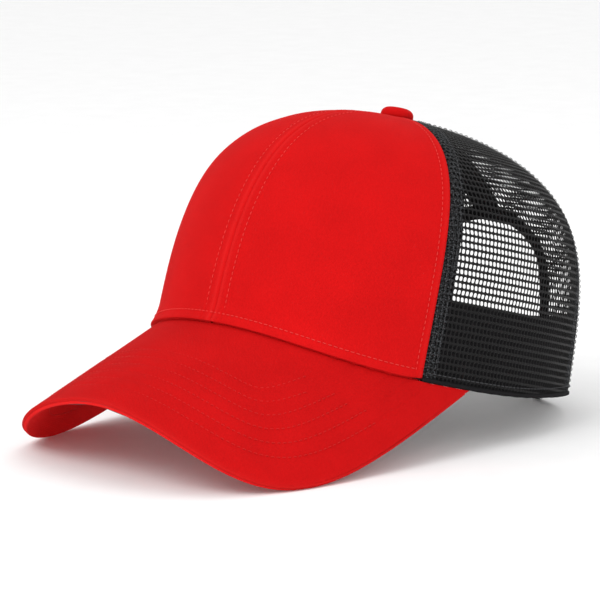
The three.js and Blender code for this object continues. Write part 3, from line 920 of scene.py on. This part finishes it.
RIM_FOLD = [(-0.3, 1.5), (-0.42, 1.1), (-0.42, 0.4), (-0.1, -0.1), (0.6, -0.28), (1.3, -0.1),
            (1.6, 0.4), (1.6, 1.4), (1.15, 1.8), (0.6, 1.8), (0.1, 1.8)]  # its section: depth and height


def add_rim_folds():
    """The black fold that closes the net's lower edge, from the visor's end to the arch's binding."""
    for hand, side in SIDES:
        end = rear_angle(np.array(ARCH_HALF + BINDING_WIDTH - 1.5)).item()
        angle = np.linspace(FRONT_SEAM, end, 150) * side
        wobble = 0.06 * np.sin(angle * 90)
        sections = np.stack([
            crown_point(angle, climb_over_rim(angle, GAP + height + wobble), depth)
            for depth, height in RIM_FOLD
        ], axis=1)
        uv = band_places(sections, 0, np.arange(len(RIM_FOLD)) * 0.9)
        ride_cap(make_piece("rim_fold_" + hand, *swept(sections), "black_tape", "binding", uv, sharp=80))


# ---- Seam tapes ----

TAPE_SPREAD = math.radians(26)  # towards the pole the tapes narrow to this turn a side
TAPE_THICKNESS, TAPE_TOP = 0.62, 0.985
TAPE_DEPTH, FRONT_TAPE_DEPTH = 1.6, 2.45  # under the net, and under the front's cloth and stiffener
TAPE_FOOT, BACK_TAPE_FOOT = 0.02, 0.556  # shares of the height where they start; the back's is over the arch
TAPE_WIDTHS = np.array([-7.5, -7.4, -7.1, -6.4, -5.9, -5.5, -5.0, -4.5, -3.4, -2.2, -1.1, -0.4])


def add_tape(name, node, seam, depth_at, rows, foot=TAPE_FOOT):
    """A folded tape under a seam; depth_at gives its outer face's depth for a place across it."""
    shares = np.linspace(foot, TAPE_TOP, 150)
    widths = np.concatenate([TAPE_WIDTHS, [0], -TAPE_WIDTHS[::-1]])
    climb = lerp(low_climb(seam), climb_at_radius(seam, TIP_RADIUS), shares)[:, None]
    turn = np.clip(angle_of_width(widths[None], seam, climb), -TAPE_SPREAD, TAPE_SPREAD)
    angle = seam + turn
    climb = lerp(low_climb(angle), climb_at_radius(angle, TIP_RADIUS), shares[:, None])
    along = run_along(crown_surface(seam, climb[:, len(widths) // 2]))[:, None]
    edge = np.abs(widths)[None]
    folded = 0.28 * smoothstep(edge, 5.2, 6.0)
    rounded = 0.4 * np.clip((edge - 6.9) / 0.6, 0, 1) ** 2
    stitched = stitch_pull(along, 0.16, 0.06) * sum(bell(widths[None] - row, 0.5) for row in rows)
    ridge = 0.14 * bell(widths[None], 0.8)
    base = depth_at(widths)[None] + 0 * climb
    outer = crown_point(angle, climb, base + rounded)
    inner = crown_point(angle, climb, base + TAPE_THICKNESS + folded + ridge - stitched - rounded)
    uv = flat_places(widths[None] + 0 * climb, along + 0 * climb)
    wear_and_highlight = 0.5 * smoothstep(edge, 6.6, 7.5) + 0 * climb
    sheet_piece(name, node, outer, inner, "black_tape", "seam_tape", uv, wear_and_highlight)
    runs = []
    for row in rows:
        path_angle, path_climb = meridian(seam, row, low_up=4)
        if foot > TAPE_FOOT:
            keep = path_climb > lerp(low_climb(seam), 1, foot + 0.02)
            path_angle, path_climb = path_angle[keep], path_climb[keep]
        depth = depth_at(np.array([row]))[0] + TAPE_THICKNESS + 0.02
        runs.append(flipped(crown_run(path_angle, path_climb, -depth)))
    return runs


def add_tapes():
    def flat(depth):
        return lambda width: np.full_like(width, depth)

    def stepped(side):
        return lambda width: lerp(FRONT_TAPE_DEPTH, TAPE_DEPTH, smoothstep(width * side, -0.5, 2.0))

    front, back = flat(FRONT_TAPE_DEPTH), flat(TAPE_DEPTH)
    runs = add_tape("centre_front_tape", "tape_center_front", 0.0, front, (-CENTRE_ROW, CENTRE_ROW))
    runs += add_tape("centre_back_tape", "tape_center_back", math.pi, back, BACK_ROWS, BACK_TAPE_FOOT)
    for hand, side in SIDES:
        for seam, angle, depth_at, rows in (
            ("front_side", FRONT_SEAM, stepped(side), (-side * FLANK_ROW, side * NET_ROW)),
            ("side_back", BACK_SEAM, back, (-NET_ROW, NET_ROW)),
        ):
            runs += add_tape(f"{seam}_tape_{hand}", f"tape_{seam}_{hand}", side * angle, depth_at, rows)
    stitches("tape_stitching", runs, "black_thread", "seam_tape")


def add_net_stitches():
    """The grey topstitching on the net beside its seams and along its lower edge."""
    runs = []
    for side in (1, -1):
        runs.append(crown_run(*meridian(side * FRONT_SEAM, side * NET_ROW, 3.5), NET_LIFT))
        for beside in (-NET_ROW, NET_ROW):
            runs.append(crown_run(*meridian(side * BACK_SEAM, beside, 3.5), NET_LIFT))
        end = rear_angle(np.array(ARCH_HALF + BINDING_WIDTH + 0.6)).item()
        angle = np.linspace(FRONT_SEAM + 0.02, end, 400) * side
        runs.append(crown_run(angle, climb_over_rim(angle, 4.2), RIM_LIFT))
    for beside in BACK_ROWS:
        angle, climb = meridian(math.pi, beside, ARCH_SPRINGING + ARCH_RISE + BINDING_WIDTH)
        runs.append(crown_run(angle, climb, NET_LIFT))
    stitches("net_stitching", runs, "black_thread", "mesh_net")


# ---- The arch's binding ----


def arch_path(width):
    """X and height of the line that keeps a width outside the arch's outline, at even steps along it."""
    rise = np.linspace(-0.6, ARCH_SPRINGING, 121)[:-1]
    turn = np.linspace(0, np.pi, 241)

    def outline(grow):
        half = ARCH_HALF + grow
        x = np.concatenate([np.full_like(rise, half), half * np.cos(turn), np.full_like(rise, -half)])
        z = np.concatenate([rise, ARCH_SPRINGING + (ARCH_RISE + grow) * np.sin(turn), rise[::-1]])
        return np.stack([x, z], axis=-1)

    run = run_along(outline(0))
    stations = np.linspace(0, run[-1], 260)
    line = outline(width)
    return np.interp(stations, run, line[:, 0]), np.interp(stations, run, line[:, 1])


def arch_point(width, depth):
    """Points and normals on the crown along the arch, a width outside its outline and a depth in."""
    x, z = arch_path(width)
    angle = rear_angle(x, z)
    climb = np.maximum(climb_at_height(z), climb_over_rim(angle, -0.2))
    return crown_run(angle, climb, -depth)


# Its section: width outside the arch's outline, and depth.
BINDING = [(5.5, -0.1), (5.3, -0.38), (4.8, -0.42), (4.1, -0.22), (3.4, -0.42), (2.2, -0.5), (0.9, -0.42),
           (0.25, -0.15), (0.0, 0.55), (0.2, 1.25), (0.8, 1.6), (2.2, 1.7), (3.4, 1.6), (4.1, 1.42),
           (4.8, 1.6), (5.3, 1.55), (5.5, 1.25), (5.2, 0.6)]


def add_arch_binding():
    sections = np.stack([arch_point(width, depth)[0] for width, depth in BINDING], axis=1)
    uv = band_places(sections, 7, run_along(np.array(BINDING)))[:, ::-1]
    wear_and_highlight = np.tile([0.5 if width < 0.3 else 0.0 for width, _ in BINDING], len(sections))
    piece = make_piece("arch_binding_tape", *swept(sections), "black_tape", "binding", uv, wear_and_highlight, sharp=80)
    ride_cap(piece, "arch_binding")
    outside = arch_point(4.1, -0.24)
    inside = arch_point(4.1, 1.44)
    stitches("binding_stitching", [outside, flipped(inside)], "black_thread", "binding")


# ---- Sweatband ----

BAND_HEIGHT, BAND_END = 35, math.radians(158.3)  # its ends lie behind the arch's binding
BAND_ROWS = (4.0, 33.0)


def band_place(angle, height, share):
    """The climb of a height on the band, and how far it leans inwards there in gentle waves."""
    sway = share * (0.5 + 0.5 * np.sin(angle * 9 + 0.7) + 0.35 * np.sin(angle * 23))
    return climb_over_rim(angle, GAP + height), sway * 0.8


def add_sweatband():
    angle = np.linspace(-BAND_END, BAND_END, 420)
    heights = np.array([0.4, 1.4, 2.6, 3.4, 4.0, 4.6, 5.6, 9, 14, 19, 24, 29, 32, 33, 33.6, 34.5, 35.2])
    lean = (heights / BAND_HEIGHT) ** 2
    inner_face = 4.9 + 0.35 * np.sin(np.pi * heights / BAND_HEIGHT)
    inner_face -= 0.35 * bell(heights - BAND_ROWS[0], 0.6) + 0.3 * bell(heights - BAND_ROWS[1], 0.5)
    outer_face = np.where(heights < 2.6, 2.4, 3.5)
    outer_face[:2] = 1.4, 1.4
    top = (4.15, BAND_HEIGHT + 0.75)
    profile = [*zip(inner_face, heights), top, *zip(outer_face[::-1], heights[::-1])]
    leans = np.concatenate([lean, [1.0], lean[::-1]])
    sections = []
    for (depth, height), share in zip(profile, leans):
        climb, sway = band_place(angle, height, share)
        sections.append(crown_point(angle, climb, depth + sway))
    sections = np.stack(sections, axis=1)
    uv = band_places(sections, 8, run_along(np.array(profile)))
    wear_and_highlight = np.tile([0.4 if height > BAND_HEIGHT - 0.5 else 0.0 for _, height in profile], len(angle))
    name = "sweatband_cloth"
    # The band's look is a lit copy of the black cloth.
    ride_cap(make_piece(name, *swept(sections), "black_band", name, uv, wear_and_highlight, sharp=70), "sweatband")
    runs = []
    for height in BAND_ROWS:
        climb, sway = band_place(angle, height, (height / BAND_HEIGHT) ** 2)
        depth = 4.62 + 0.35 * math.sin(math.pi * height / BAND_HEIGHT) + sway
        runs.append(flipped(crown_run(angle, climb, -depth)))
    stitches("sweatband_stitching", runs, "black_thread", "sweatband_cloth")


# ---- Visor ----

VISOR_ENDS = 0.995  # the cloth stops a little short of the visor's pointed ends
EDGE_REACH = 0.2  # the cloth's edge stands this far outside the board's outline
EDGE_RADIUS = 0.65  # where the visor's faces turn into its edge
CLOTH_THICKNESS = 0.5
TUCK = (1.2, 2.4)  # how far the visor's cloth runs on under the crown


class VisorGrid:
    """Points over the visor with their distance from its edge and their place along it."""

    def __init__(self, columns, inward):
        sweep = np.linspace(-VISOR_ENDS, VISOR_ENDS, columns)
        self.surface = visor_surface(*np.meshgrid(sweep, inward))
        self.normal = visor_normal(self.surface[..., 0])
        rim = visor_surface(np.linspace(-VISOR_ENDS, VISOR_ENDS, 2400), np.zeros(2400))
        tree = KDTree(len(rim))
        for number, point in enumerate(rim):
            tree.insert(point, number)
        tree.balance()
        flat = self.surface.reshape(-1, 3)
        self.distance = np.array([tree.find(point)[2] for point in flat]).reshape(self.surface.shape[:2])
        self.along = run_along(self.surface[0])[None] + 0 * self.distance


def visor_relief(distance, along):
    """The quilted relief that the parallel rows give the visor's cloth."""
    relief = 0.05 * ripple(along, distance, 31)
    for row in VISOR_ROWS:
        relief -= stitch_pull(along, 0.20, 0.08) * bell(distance - row, 0.75)
    first, last = VISOR_ROWS[0], VISOR_ROWS[-1]
    between = (distance - first) / VISOR_ROW_STEP
    quilted = smoothstep(distance, first, first + 2) * smoothstep(last - distance, 0, 2)
    return relief + 0.12 * np.sin(np.pi * between) ** 2 * quilted


def visor_edge_frame(grid):
    """The outward direction in the visor's sheet along its edge."""
    edge = grid.surface[0]
    tangent = unit(np.gradient(edge, axis=0))
    outward = unit(np.cross(tangent, grid.normal[0]))
    facing = np.sign(np.sum(outward * (edge - grid.surface[4]), axis=-1))
    return outward * facing[:, None]


def visor_rim_rows(grid, outward, face_sign, thin):
    """Rows from the seam at the middle of the visor's edge, up the flat edge and round onto one face."""
    middle = grid.surface[0] - grid.normal[0] * VISOR_THICKNESS / 2
    radius = EDGE_RADIUS - thin
    flat_height = VISOR_THICKNESS / 2 - EDGE_RADIUS
    seam = ((0.0, 0.16), (0.14, 0.05), (0.35, 0.0), (flat_height * 0.9, 0.0))  # heights and dips
    stations = [(EDGE_REACH - thin - dip, height) for height, dip in seam]
    for turn in np.linspace(0, math.pi / 2, 6):
        reach = EDGE_REACH - EDGE_RADIUS + radius * math.cos(turn)
        stations.append((reach, flat_height + radius * math.sin(turn)))
    upward = grid.normal[0] * face_sign
    return np.array([middle + outward * reach + upward * height for reach, height in stations])


def visor_face_rows(grid, outward, lift, corner):
    """Rows over one face, which start where the edge's rounding ends, and run on a little under the crown."""
    face = grid.surface + grid.normal * lift[..., None]
    start = EDGE_RADIUS - EDGE_REACH
    share = smoothstep(grid.distance, start, start + 0.8)[..., None]
    creep = np.arange(len(face))[:, None, None] * 0.004
    face = lerp(corner - outward * creep, face, share)[1:]
    inward = unit((grid.surface[-1] - grid.surface[-4]) * np.array([1, 1, 0]))
    room = lerp(0.1, 1.0, smoothstep(grid.distance[-1:], 1, 12)).T
    tucked = [face[-1] + inward * reach * room for reach in TUCK]
    return np.concatenate([face, tucked])


def visor_cloth_places(grid, outward, rim_count):
    """Places on the flat cloth: the arc across the sheet, and the run along its straight lines."""
    x = np.linspace(-VISOR_HALF - 5, VISOR_HALF + 5, 600)
    arc = run_along(np.stack([x, 0 * x, visor_sheet(x, 0 * x)], axis=-1))
    flat = np.stack([np.interp(grid.surface[..., 0], x, arc), grid.surface[..., 1]], axis=-1)
    side = np.sign(outward[:, 0]) * np.sqrt(np.clip(1 - outward[:, 1] ** 2, 0, 1))
    away = np.stack([side, outward[:, 1]], axis=-1)
    rim = [flat[0] + away * reach for reach in np.linspace(2.2, 0.05, rim_count)]
    under_crown = [flat[-1] + np.array([0, reach]) for reach in TUCK]
    return np.concatenate([rim, flat[1:], under_crown])


def add_visor_cloth(name, node, grid, under):
    """One face of the visor with its half of the edge, down to the seam round the edge's middle."""
    outward = visor_edge_frame(grid)
    face_sign = -1 if under else 1
    depth = VISOR_THICKNESS if under else 0.0
    relief = visor_relief(grid.distance, grid.along)
    relief *= smoothstep(grid.distance, EDGE_RADIUS, EDGE_RADIUS + 2)
    faces_of = []
    for thin, lift in ((0.0, relief), (CLOTH_THICKNESS, np.full_like(relief, -CLOTH_THICKNESS))):
        rim = visor_rim_rows(grid, outward, face_sign, thin)
        rows = visor_face_rows(grid, outward, face_sign * lift - depth, rim[-1])
        faces_of.append(np.concatenate([rim, rows]))
    uv = visor_cloth_places(grid, outward, len(rim)).reshape(-1, 2)
    on_rim = np.zeros((len(rim), grid.distance.shape[1]))
    under_crown = np.repeat(grid.distance[-1:], len(TUCK), axis=0)
    wear_and_highlight = 0.7 * np.exp(-np.concatenate([on_rim, grid.distance[1:], under_crown]))
    # The lit copy of the red cloth goes underneath, the shaded copy on top.
    look = "under_cloth" if under else "visor_cloth"
    sheet_piece(name, node, *faces_of, look, "visor_cloth", uv, wear_and_highlight, sharp=60)


def smoothed(path, spread):
    """A path with its small kinks averaged out; its ends stay where they are."""
    reach = 3 * spread
    weights = np.exp(-0.5 * (np.arange(-reach, reach + 1) / spread) ** 2)
    weights /= weights.sum()
    longer = np.concatenate([2 * path[:1] - path[reach:0:-1], path, 2 * path[-1:] - path[-2:-reach - 2:-1]])
    return np.stack([np.convolve(longer[:, k], weights, "valid") for k in range(3)], axis=-1)


def visor_stitch_rows(grid):
    """The stitched rows, each a path at one distance from the edge, with normals."""
    rows = []
    for distance in VISOR_ROWS:
        path = []
        for column in range(grid.distance.shape[1]):
            reach = grid.distance[:, column]
            beyond = np.nonzero(reach >= distance)[0]
            if not len(beyond) or beyond[0] == 0 or reach[-1] < distance + 0.8:
                continue
            after = beyond[0]
            share = (distance - reach[after - 1]) / (reach[after] - reach[after - 1])
            path.append(lerp(grid.surface[after - 1, column], grid.surface[after, column], share))
        path = smoothed(np.array(path), 3)
        rows.append((path, visor_normal(path[:, 0])))
    return rows


def add_visor():
    inward = np.concatenate([[0, 0.012, 0.024], np.linspace(0.036, 1.0, 128)])
    grid = VisorGrid(250, inward)
    add_visor_cloth("visor_cloth_top", "visor_top_cloth", grid, under=False)
    add_visor_cloth("visor_cloth_under", "visor_under_cloth", grid, under=True)
    rows = visor_stitch_rows(grid)
    top = [(path + normals * 0.06, normals) for path, normals in rows]
    under = [(path - normals * (VISOR_THICKNESS + 0.06), -normals) for path, normals in rows]
    # The visor's thread look is lit to offset the shadow in the stitched valleys.
    stitches("visor_stitching", top, "lit_visor_thread", "visor_cloth")
    stitches("visor_stitching_under", under, "lit_visor_thread", "visor_cloth")
    board = frame["nodes"]["visor_board"]
    board.data.materials.clear()
    board.data.materials.append(LOOKS["board"])


# ---- Button and rivet ----


def turned(name, node, profile, sides, look, slot, crimp=None):
    """A turned piece on the crown's pole from radii and heights, with its radius uneven where crimp says."""
    turn = np.arange(sides) * 2 * np.pi / sides
    rings = []
    for radius, height in profile:
        reach = radius + (crimp(turn, radius, height) if crimp else 0)
        level = np.full_like(turn, CROWN_HEIGHT + height)
        rings.append(np.stack([reach * np.cos(turn), POLE_Y + reach * np.sin(turn), level], axis=-1))
    points, faces = swept(np.stack(rings))
    run = np.repeat(run_along(np.array(profile)), sides)
    uv = np.stack([np.tile(turn * 6, len(profile)), run], axis=-1)
    ride_cap(make_piece(name, points, faces, look, slot, uv, sharp=60), node)


def add_button():
    """The button is a shell pressed in cloth, which gathers in small pleats under its edge."""
    dome = [(7.45 * math.cos(turn) ** 0.55, 1.3 + 3.6 * math.sin(turn)) for turn in np.linspace(0, 1.5, 16)]
    profile = [(1.2, -0.6), (5.6, -0.6), (6.6, -0.25), (7.25, 0.35), (7.5, 0.9), *dome, (0.3, 4.93)]

    def crimp(turn, radius, height):
        gathered = max(0.0, 1 - max(0.0, height) / 2.2)
        return (0.16 * np.abs(np.sin(turn * 9)) - 0.1) * gathered * (radius > 3)

    turned("button_cloth_cover", "crown_button", profile, 108, "red_cloth", "button_cloth", crimp)
    rivet = [(0.3, -5.15), (2.2, -5.1), (3.6, -4.75), (4.4, -4.5), (5.4, -4.35), (5.95, -3.95), (6.05, -3.5),
             (5.9, -3.05), (5.5, -2.9), (0.3, -2.9)]
    turned("rivet_cap", "button_rivet", rivet, 48, "metal", "rivet_metal")


# ---- Snap strap ----

STRAP_MIDDLE = STRAP_BOTTOM + STRAP_HEIGHT / 2
STRAP_RADIUS = STRAP_HEIGHT / 2
TIP_CENTRE = -STRAP_END + STRAP_HEIGHT / 2
CIRCLE_POINTS = 28
PEG_PLACES = [(peg - (PEGS - 1) / 2) * SNAP_PITCH for peg in range(PEGS)]
HOLE_PLACES = [PEG_PLACES[0] - SNAP_PITCH, *PEG_PLACES]
# Inset and depth of the strap's rounded edge, then radius and depth of a hole's lip and of a peg.
EDGE_ROUND = [(0.45, 0.0), (0.13, 0.13), (0.0, 0.45), (0.0, 0.75), (0.13, 1.07), (0.45, 1.2)]
HOLE_PROFILE = [(4.0, 0.0), (3.8, -0.22), (3.45, -0.32), (2.95, -0.28), (2.68, -0.05), (2.6, 0.4), (2.6, 0.8),
                (2.7, 1.08), (3.0, 1.2)]
PEG_PROFILE = [(2.2, 0.0), (1.92, -0.3), (1.8, -0.8), (1.84, -1.15), (2.25, -1.32), (2.34, -1.6),
               (2.1, -1.85), (1.3, -2.0), (0.4, -2.05)]


def strap_outline(side, inset):
    """The strap's outline: square with small corners at its sewn end, round at the other."""
    low, high = STRAP_BOTTOM + inset, STRAP_BOTTOM + STRAP_HEIGHT - inset
    radius = STRAP_RADIUS - inset
    root = STRAP_ROOT - inset
    corner = 2 - inset
    points = []
    for start, centre_z in ((-math.pi / 2, low + corner), (0, high - corner)):
        for turn in np.linspace(start, start + math.pi / 2, 7):
            points.append((root - corner + corner * math.cos(turn), centre_z + corner * math.sin(turn)))
    points += [(x, high) for x in np.linspace(root - corner, TIP_CENTRE, 52)[1:-1]]
    for turn in np.linspace(0, math.pi, 31):
        points.append((TIP_CENTRE - radius * math.sin(turn), STRAP_MIDDLE + radius * math.cos(turn)))
    points += [(x, low) for x in np.linspace(TIP_CENTRE, root - corner, 52)[1:-1]]
    return np.array([(side * x, z) for x, z in points])


def circle(x, radius):
    turn = np.arange(CIRCLE_POINTS) * 2 * np.pi / CIRCLE_POINTS
    return np.stack([x + radius * np.cos(turn), STRAP_MIDDLE + radius * np.sin(turn)], axis=-1)


def strap_depth(side, depth, x):
    """The depth of a strap's outer face, which meets the sewn end's depth at the hinge."""
    return lerp(depth, STRAP_ROOT_DEPTH, smoothstep(side * x, STRAP_HINGE - 10, STRAP_HINGE + 2))


def from_hole(x, z, places):
    """The distance to the middle of the nearest hole or peg."""
    return min((math.hypot(x - place_x, z - STRAP_MIDDLE) for place_x in places), default=math.inf)


def inside_strap(side, x, z, places, radius):
    """Whether a point lies clear of the strap's outline and holes, where the triangles have their corners."""
    clear = from_hole(x, z, places) > radius + 0.6
    from_tip = math.hypot(min(side * x - TIP_CENTRE, 0), z - STRAP_MIDDLE)
    return clear and from_tip < STRAP_RADIUS - 1.2 and -STRAP_END < side * x < STRAP_ROOT - 1.6


def outside_strap(side, x, z, places, radius, on_outline):
    """Whether a triangle with this middle fills a hole or a gap between the outline's chord and its curve."""
    in_hole = from_hole(x, z, places) < radius * 0.985
    from_tip = math.hypot(side * x - TIP_CENTRE, z - STRAP_MIDDLE)
    beyond_tip = side * x < TIP_CENTRE and from_tip > STRAP_RADIUS - 0.35
    past_flat = max(abs(z - STRAP_MIDDLE) - (STRAP_RADIUS - 2), 0)
    from_corner = math.hypot(side * x - (STRAP_ROOT - 2), past_flat)
    past_corner = side * x > STRAP_ROOT - 2 and on_outline and from_corner > 1.6
    return in_hole or beyond_tip or past_corner


def face_triangles(side, outline, places, radius):
    """Triangles over a strap's face, outside its holes, with a grid of points so that it can bend."""
    columns = np.arange(-STRAP_ROOT, STRAP_ROOT, 1.5)
    rows = np.arange(STRAP_BOTTOM + 1.6, STRAP_BOTTOM + STRAP_HEIGHT - 1.2, 1.6)
    inner_points = [(x, z) for x in columns for z in rows if inside_strap(side, x, z, places, radius)]
    loops = [outline, *(circle(x, radius) for x in places)]
    points = np.concatenate([*loops, np.array(inner_points)])
    edges, offset = [], 0
    for loop in loops:
        count = len(loop)
        edges += [(offset + k, offset + (k + 1) % count) for k in range(count)]
        offset += count
    made = delaunay_2d_cdt([Vector(p) for p in points], edges, [], 0, 1e-6)
    source = [origin[0] for origin in made[3]]
    triangles = []
    for face in made[2]:
        corners = [source[corner] for corner in face]
        x, z = points[corners].mean(axis=0)
        on_outline = all(corner < len(outline) for corner in corners)
        if not outside_strap(side, x, z, places, radius, on_outline):
            triangles.append(corners)
    return points, triangles


def strap_mesh(side, depth, places, hole_profile, pegs):
    """Points (x, height, depth) and faces of a strap as one closed body, with its holes or its pegs."""
    def level(flat, offset):
        return np.column_stack([flat, strap_depth(side, depth, flat[:, 0]) + offset])

    outline = strap_outline(side, EDGE_ROUND[0][0])
    front, front_faces = face_triangles(side, outline, places, hole_profile[0][0])
    back, back_faces = face_triangles(side, outline, [] if pegs else places, hole_profile[-1][0])
    back_faces = [face[::-1] for face in back_faces]
    rings = [level(strap_outline(side, inset), offset) for inset, offset in EDGE_ROUND]
    index = np.arange(len(rings) * len(outline)).reshape(len(rings), -1)
    parts = [(level(front, 0.0), front_faces), (level(back, STRAP_THICKNESS), back_faces)]
    parts.append((np.concatenate(rings), grid_faces(index, closed=True)))
    for x in places:
        rings = [level(circle(x, radius), offset) for radius, offset in hole_profile]
        index = np.arange(len(rings) * CIRCLE_POINTS).reshape(len(rings), CIRCLE_POINTS)
        ring_faces = grid_faces(index, closed=True)
        if pegs:
            ring_faces.append(index[-1].tolist())
        parts.append((np.concatenate(rings), ring_faces))
    return joined(parts)


def add_strap(name, nodes, side, depth, places, hole_profile, pegs):
    flat, faces = strap_mesh(side, depth, places, hole_profile, pegs)
    flat, faces, _ = weld(flat, faces)
    angle = rear_angle(flat[:, 0])
    points = crown_point(angle, climb_at_height(flat[:, 1]), flat[:, 2])
    # On the strap this share marks real wear along its rounded edges.
    rub_and_highlight = np.clip(strap_depth(side, depth, flat[:, 0]) - flat[:, 2], 0, 0.3) / 0.3
    edge = np.minimum(flat[:, 1] - STRAP_BOTTOM, STRAP_BOTTOM + STRAP_HEIGHT - flat[:, 1])
    wear_and_highlight = np.maximum(rub_and_highlight, np.exp(-np.maximum(edge, 0) / 0.3)) * 0.6
    piece = make_piece(name, points, faces, "plastic", "strap_plastic", flat[:, :2], wear_and_highlight, sharp=40)
    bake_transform(piece)
    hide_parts(*nodes)


def add_straps():
    add_strap(
        "snap_strap_holes", ["strap_holes", "strap_holes_root"], -1, HOLES_DEPTH,
        HOLE_PLACES, HOLE_PROFILE, pegs=False,
    )
    add_strap(
        "snap_strap_pegs", ["strap_pegs", "strap_pegs_root"], 1, PEGS_DEPTH,
        PEG_PLACES, PEG_PROFILE, pegs=True,
    )
    runs = []
    for side in (1, -1):
        for x in (ARCH_HALF + 4.1, STRAP_ROOT - 1.4):
            height = np.linspace(STRAP_BOTTOM + 1.5, STRAP_BOTTOM + STRAP_HEIGHT - 1.5, 60)
            angle = rear_angle(np.full_like(height, side * x), height)
            lift = BINDING_LIFT if x < ARCH_HALF + BINDING_WIDTH else 0.1
            runs.append(crown_run(angle, climb_at_height(height), lift))
    stitches("strap_stitching", runs, "black_thread", "binding")


# ---- Stage, lights and camera ----


def add_floor():
    look = Look("floor", Specular_IOR_Level=0.1, Roughness=0.9)
    speck = look.noise(look.object_place(), 40.0, 4.0)
    colour = look.ramp(speck, (1, 1, 1), (0.3, 0.90), (0.7, 0.925))
    half = 12.0
    corners = [(-half, -half, 0), (half, -half, 0), (half, half, 0), (-half, half, 0)]
    mesh = bpy.data.meshes.new("floor")
    mesh.from_pydata(corners, [], [(0, 1, 2, 3)])
    mesh.materials.append(look.finish(colour))
    add_object("floor", mesh)


def direction(azimuth, elevation):
    """From the cap towards a viewer or a lamp: azimuth 0 is in front of it, 90 on the wearer's left."""
    a, e = math.radians(azimuth), math.radians(elevation)
    return Vector((math.sin(a) * math.cos(e), -math.cos(a) * math.cos(e), math.sin(e)))


def hang_lamp(kind, name, azimuth, elevation, distance, target, power, **settings):
    lamp = bpy.data.lights.new(name, kind)
    lamp.energy = power
    for setting, value in settings.items():
        setattr(lamp, setting, value)
    holder = add_object(name, lamp)
    away = direction(azimuth, elevation)
    holder.location = Vector(target) + away * distance
    holder.rotation_euler = away.to_track_quat("Z", "Y").to_euler()


SOFTBOX_DISTANCE = 1.6
SOFTBOXES = [  # name, azimuth, elevation, size and power
    ("key", 5, 48, 0.9, 6.5), ("fill", 100, 25, 1.2, 3), ("top", 180, 78, 1.0, 1.5), ("low", 25, 4, 0.5, 1.0),
]


def add_lights():
    """A white studio with softboxes, and a narrow soft beam as a white card under the visor gives."""
    world = bpy.data.worlds.new("studio")
    world.use_nodes = True
    background = world.node_tree.nodes["Background"]
    background.inputs["Color"].default_value = (1, 1, 1, 1)
    background.inputs["Strength"].default_value = 1.0
    bpy.context.scene.world = world
    for name, azimuth, elevation, size, power in SOFTBOXES:
        disk = {"shape": "DISK", "size": size}
        hang_lamp("AREA", name, azimuth, elevation, SOFTBOX_DISTANCE, (0, 0, 0), power, **disk)
    beam = {"shadow_soft_size": 0.12, "spot_size": math.radians(11), "spot_blend": 1.0}
    hang_lamp("SPOT", "card", 50, 2.5, 1.2, (-0.075, -0.085, 0.02), 32, **beam)
    bpy.context.scene.view_settings.view_transform = "Standard"


def add_camera():
    """The photograph's viewpoint, worked out from the cap's outline: from ahead of the wearer's left side."""
    azimuth, elevation, roll, distance = 43.732, 9.088, math.radians(0.539), 1.479
    aside, below = 0.0295, 0.0273  # the view is aimed this far beside and below the cap's middle
    cap_middle = Vector((0, 0.03573, 0.08152))
    back = direction(azimuth, elevation)
    right = Vector((math.cos(math.radians(azimuth)), math.sin(math.radians(azimuth)), 0))
    up = back.cross(right)
    rolled_right = right * math.cos(roll) - up * math.sin(roll)
    rolled_up = right * math.sin(roll) + up * math.cos(roll)
    stand = cap_middle + back * distance
    aim = cap_middle - rolled_right * aside - rolled_up * below
    view = (stand - aim).normalized()
    view_right = rolled_up.cross(view).normalized()
    turn = Matrix((view_right, view.cross(view_right), view)).transposed()
    camera = add_object("camera", bpy.data.cameras.new("camera"))
    camera.data.lens = 197.4
    camera.data.sensor_width = 36
    camera.matrix_world = Matrix.Translation(stand) @ turn.to_4x4()
    bpy.context.scene.camera = camera


add_floor()
add_lights()
add_camera()
add_front_panels()
add_front_stitches()
add_buckrams()
add_net_panels()
add_net_stitches()
add_rim_folds()
add_tapes()
add_arch_binding()
add_sweatband()
add_visor()
add_button()
add_straps()
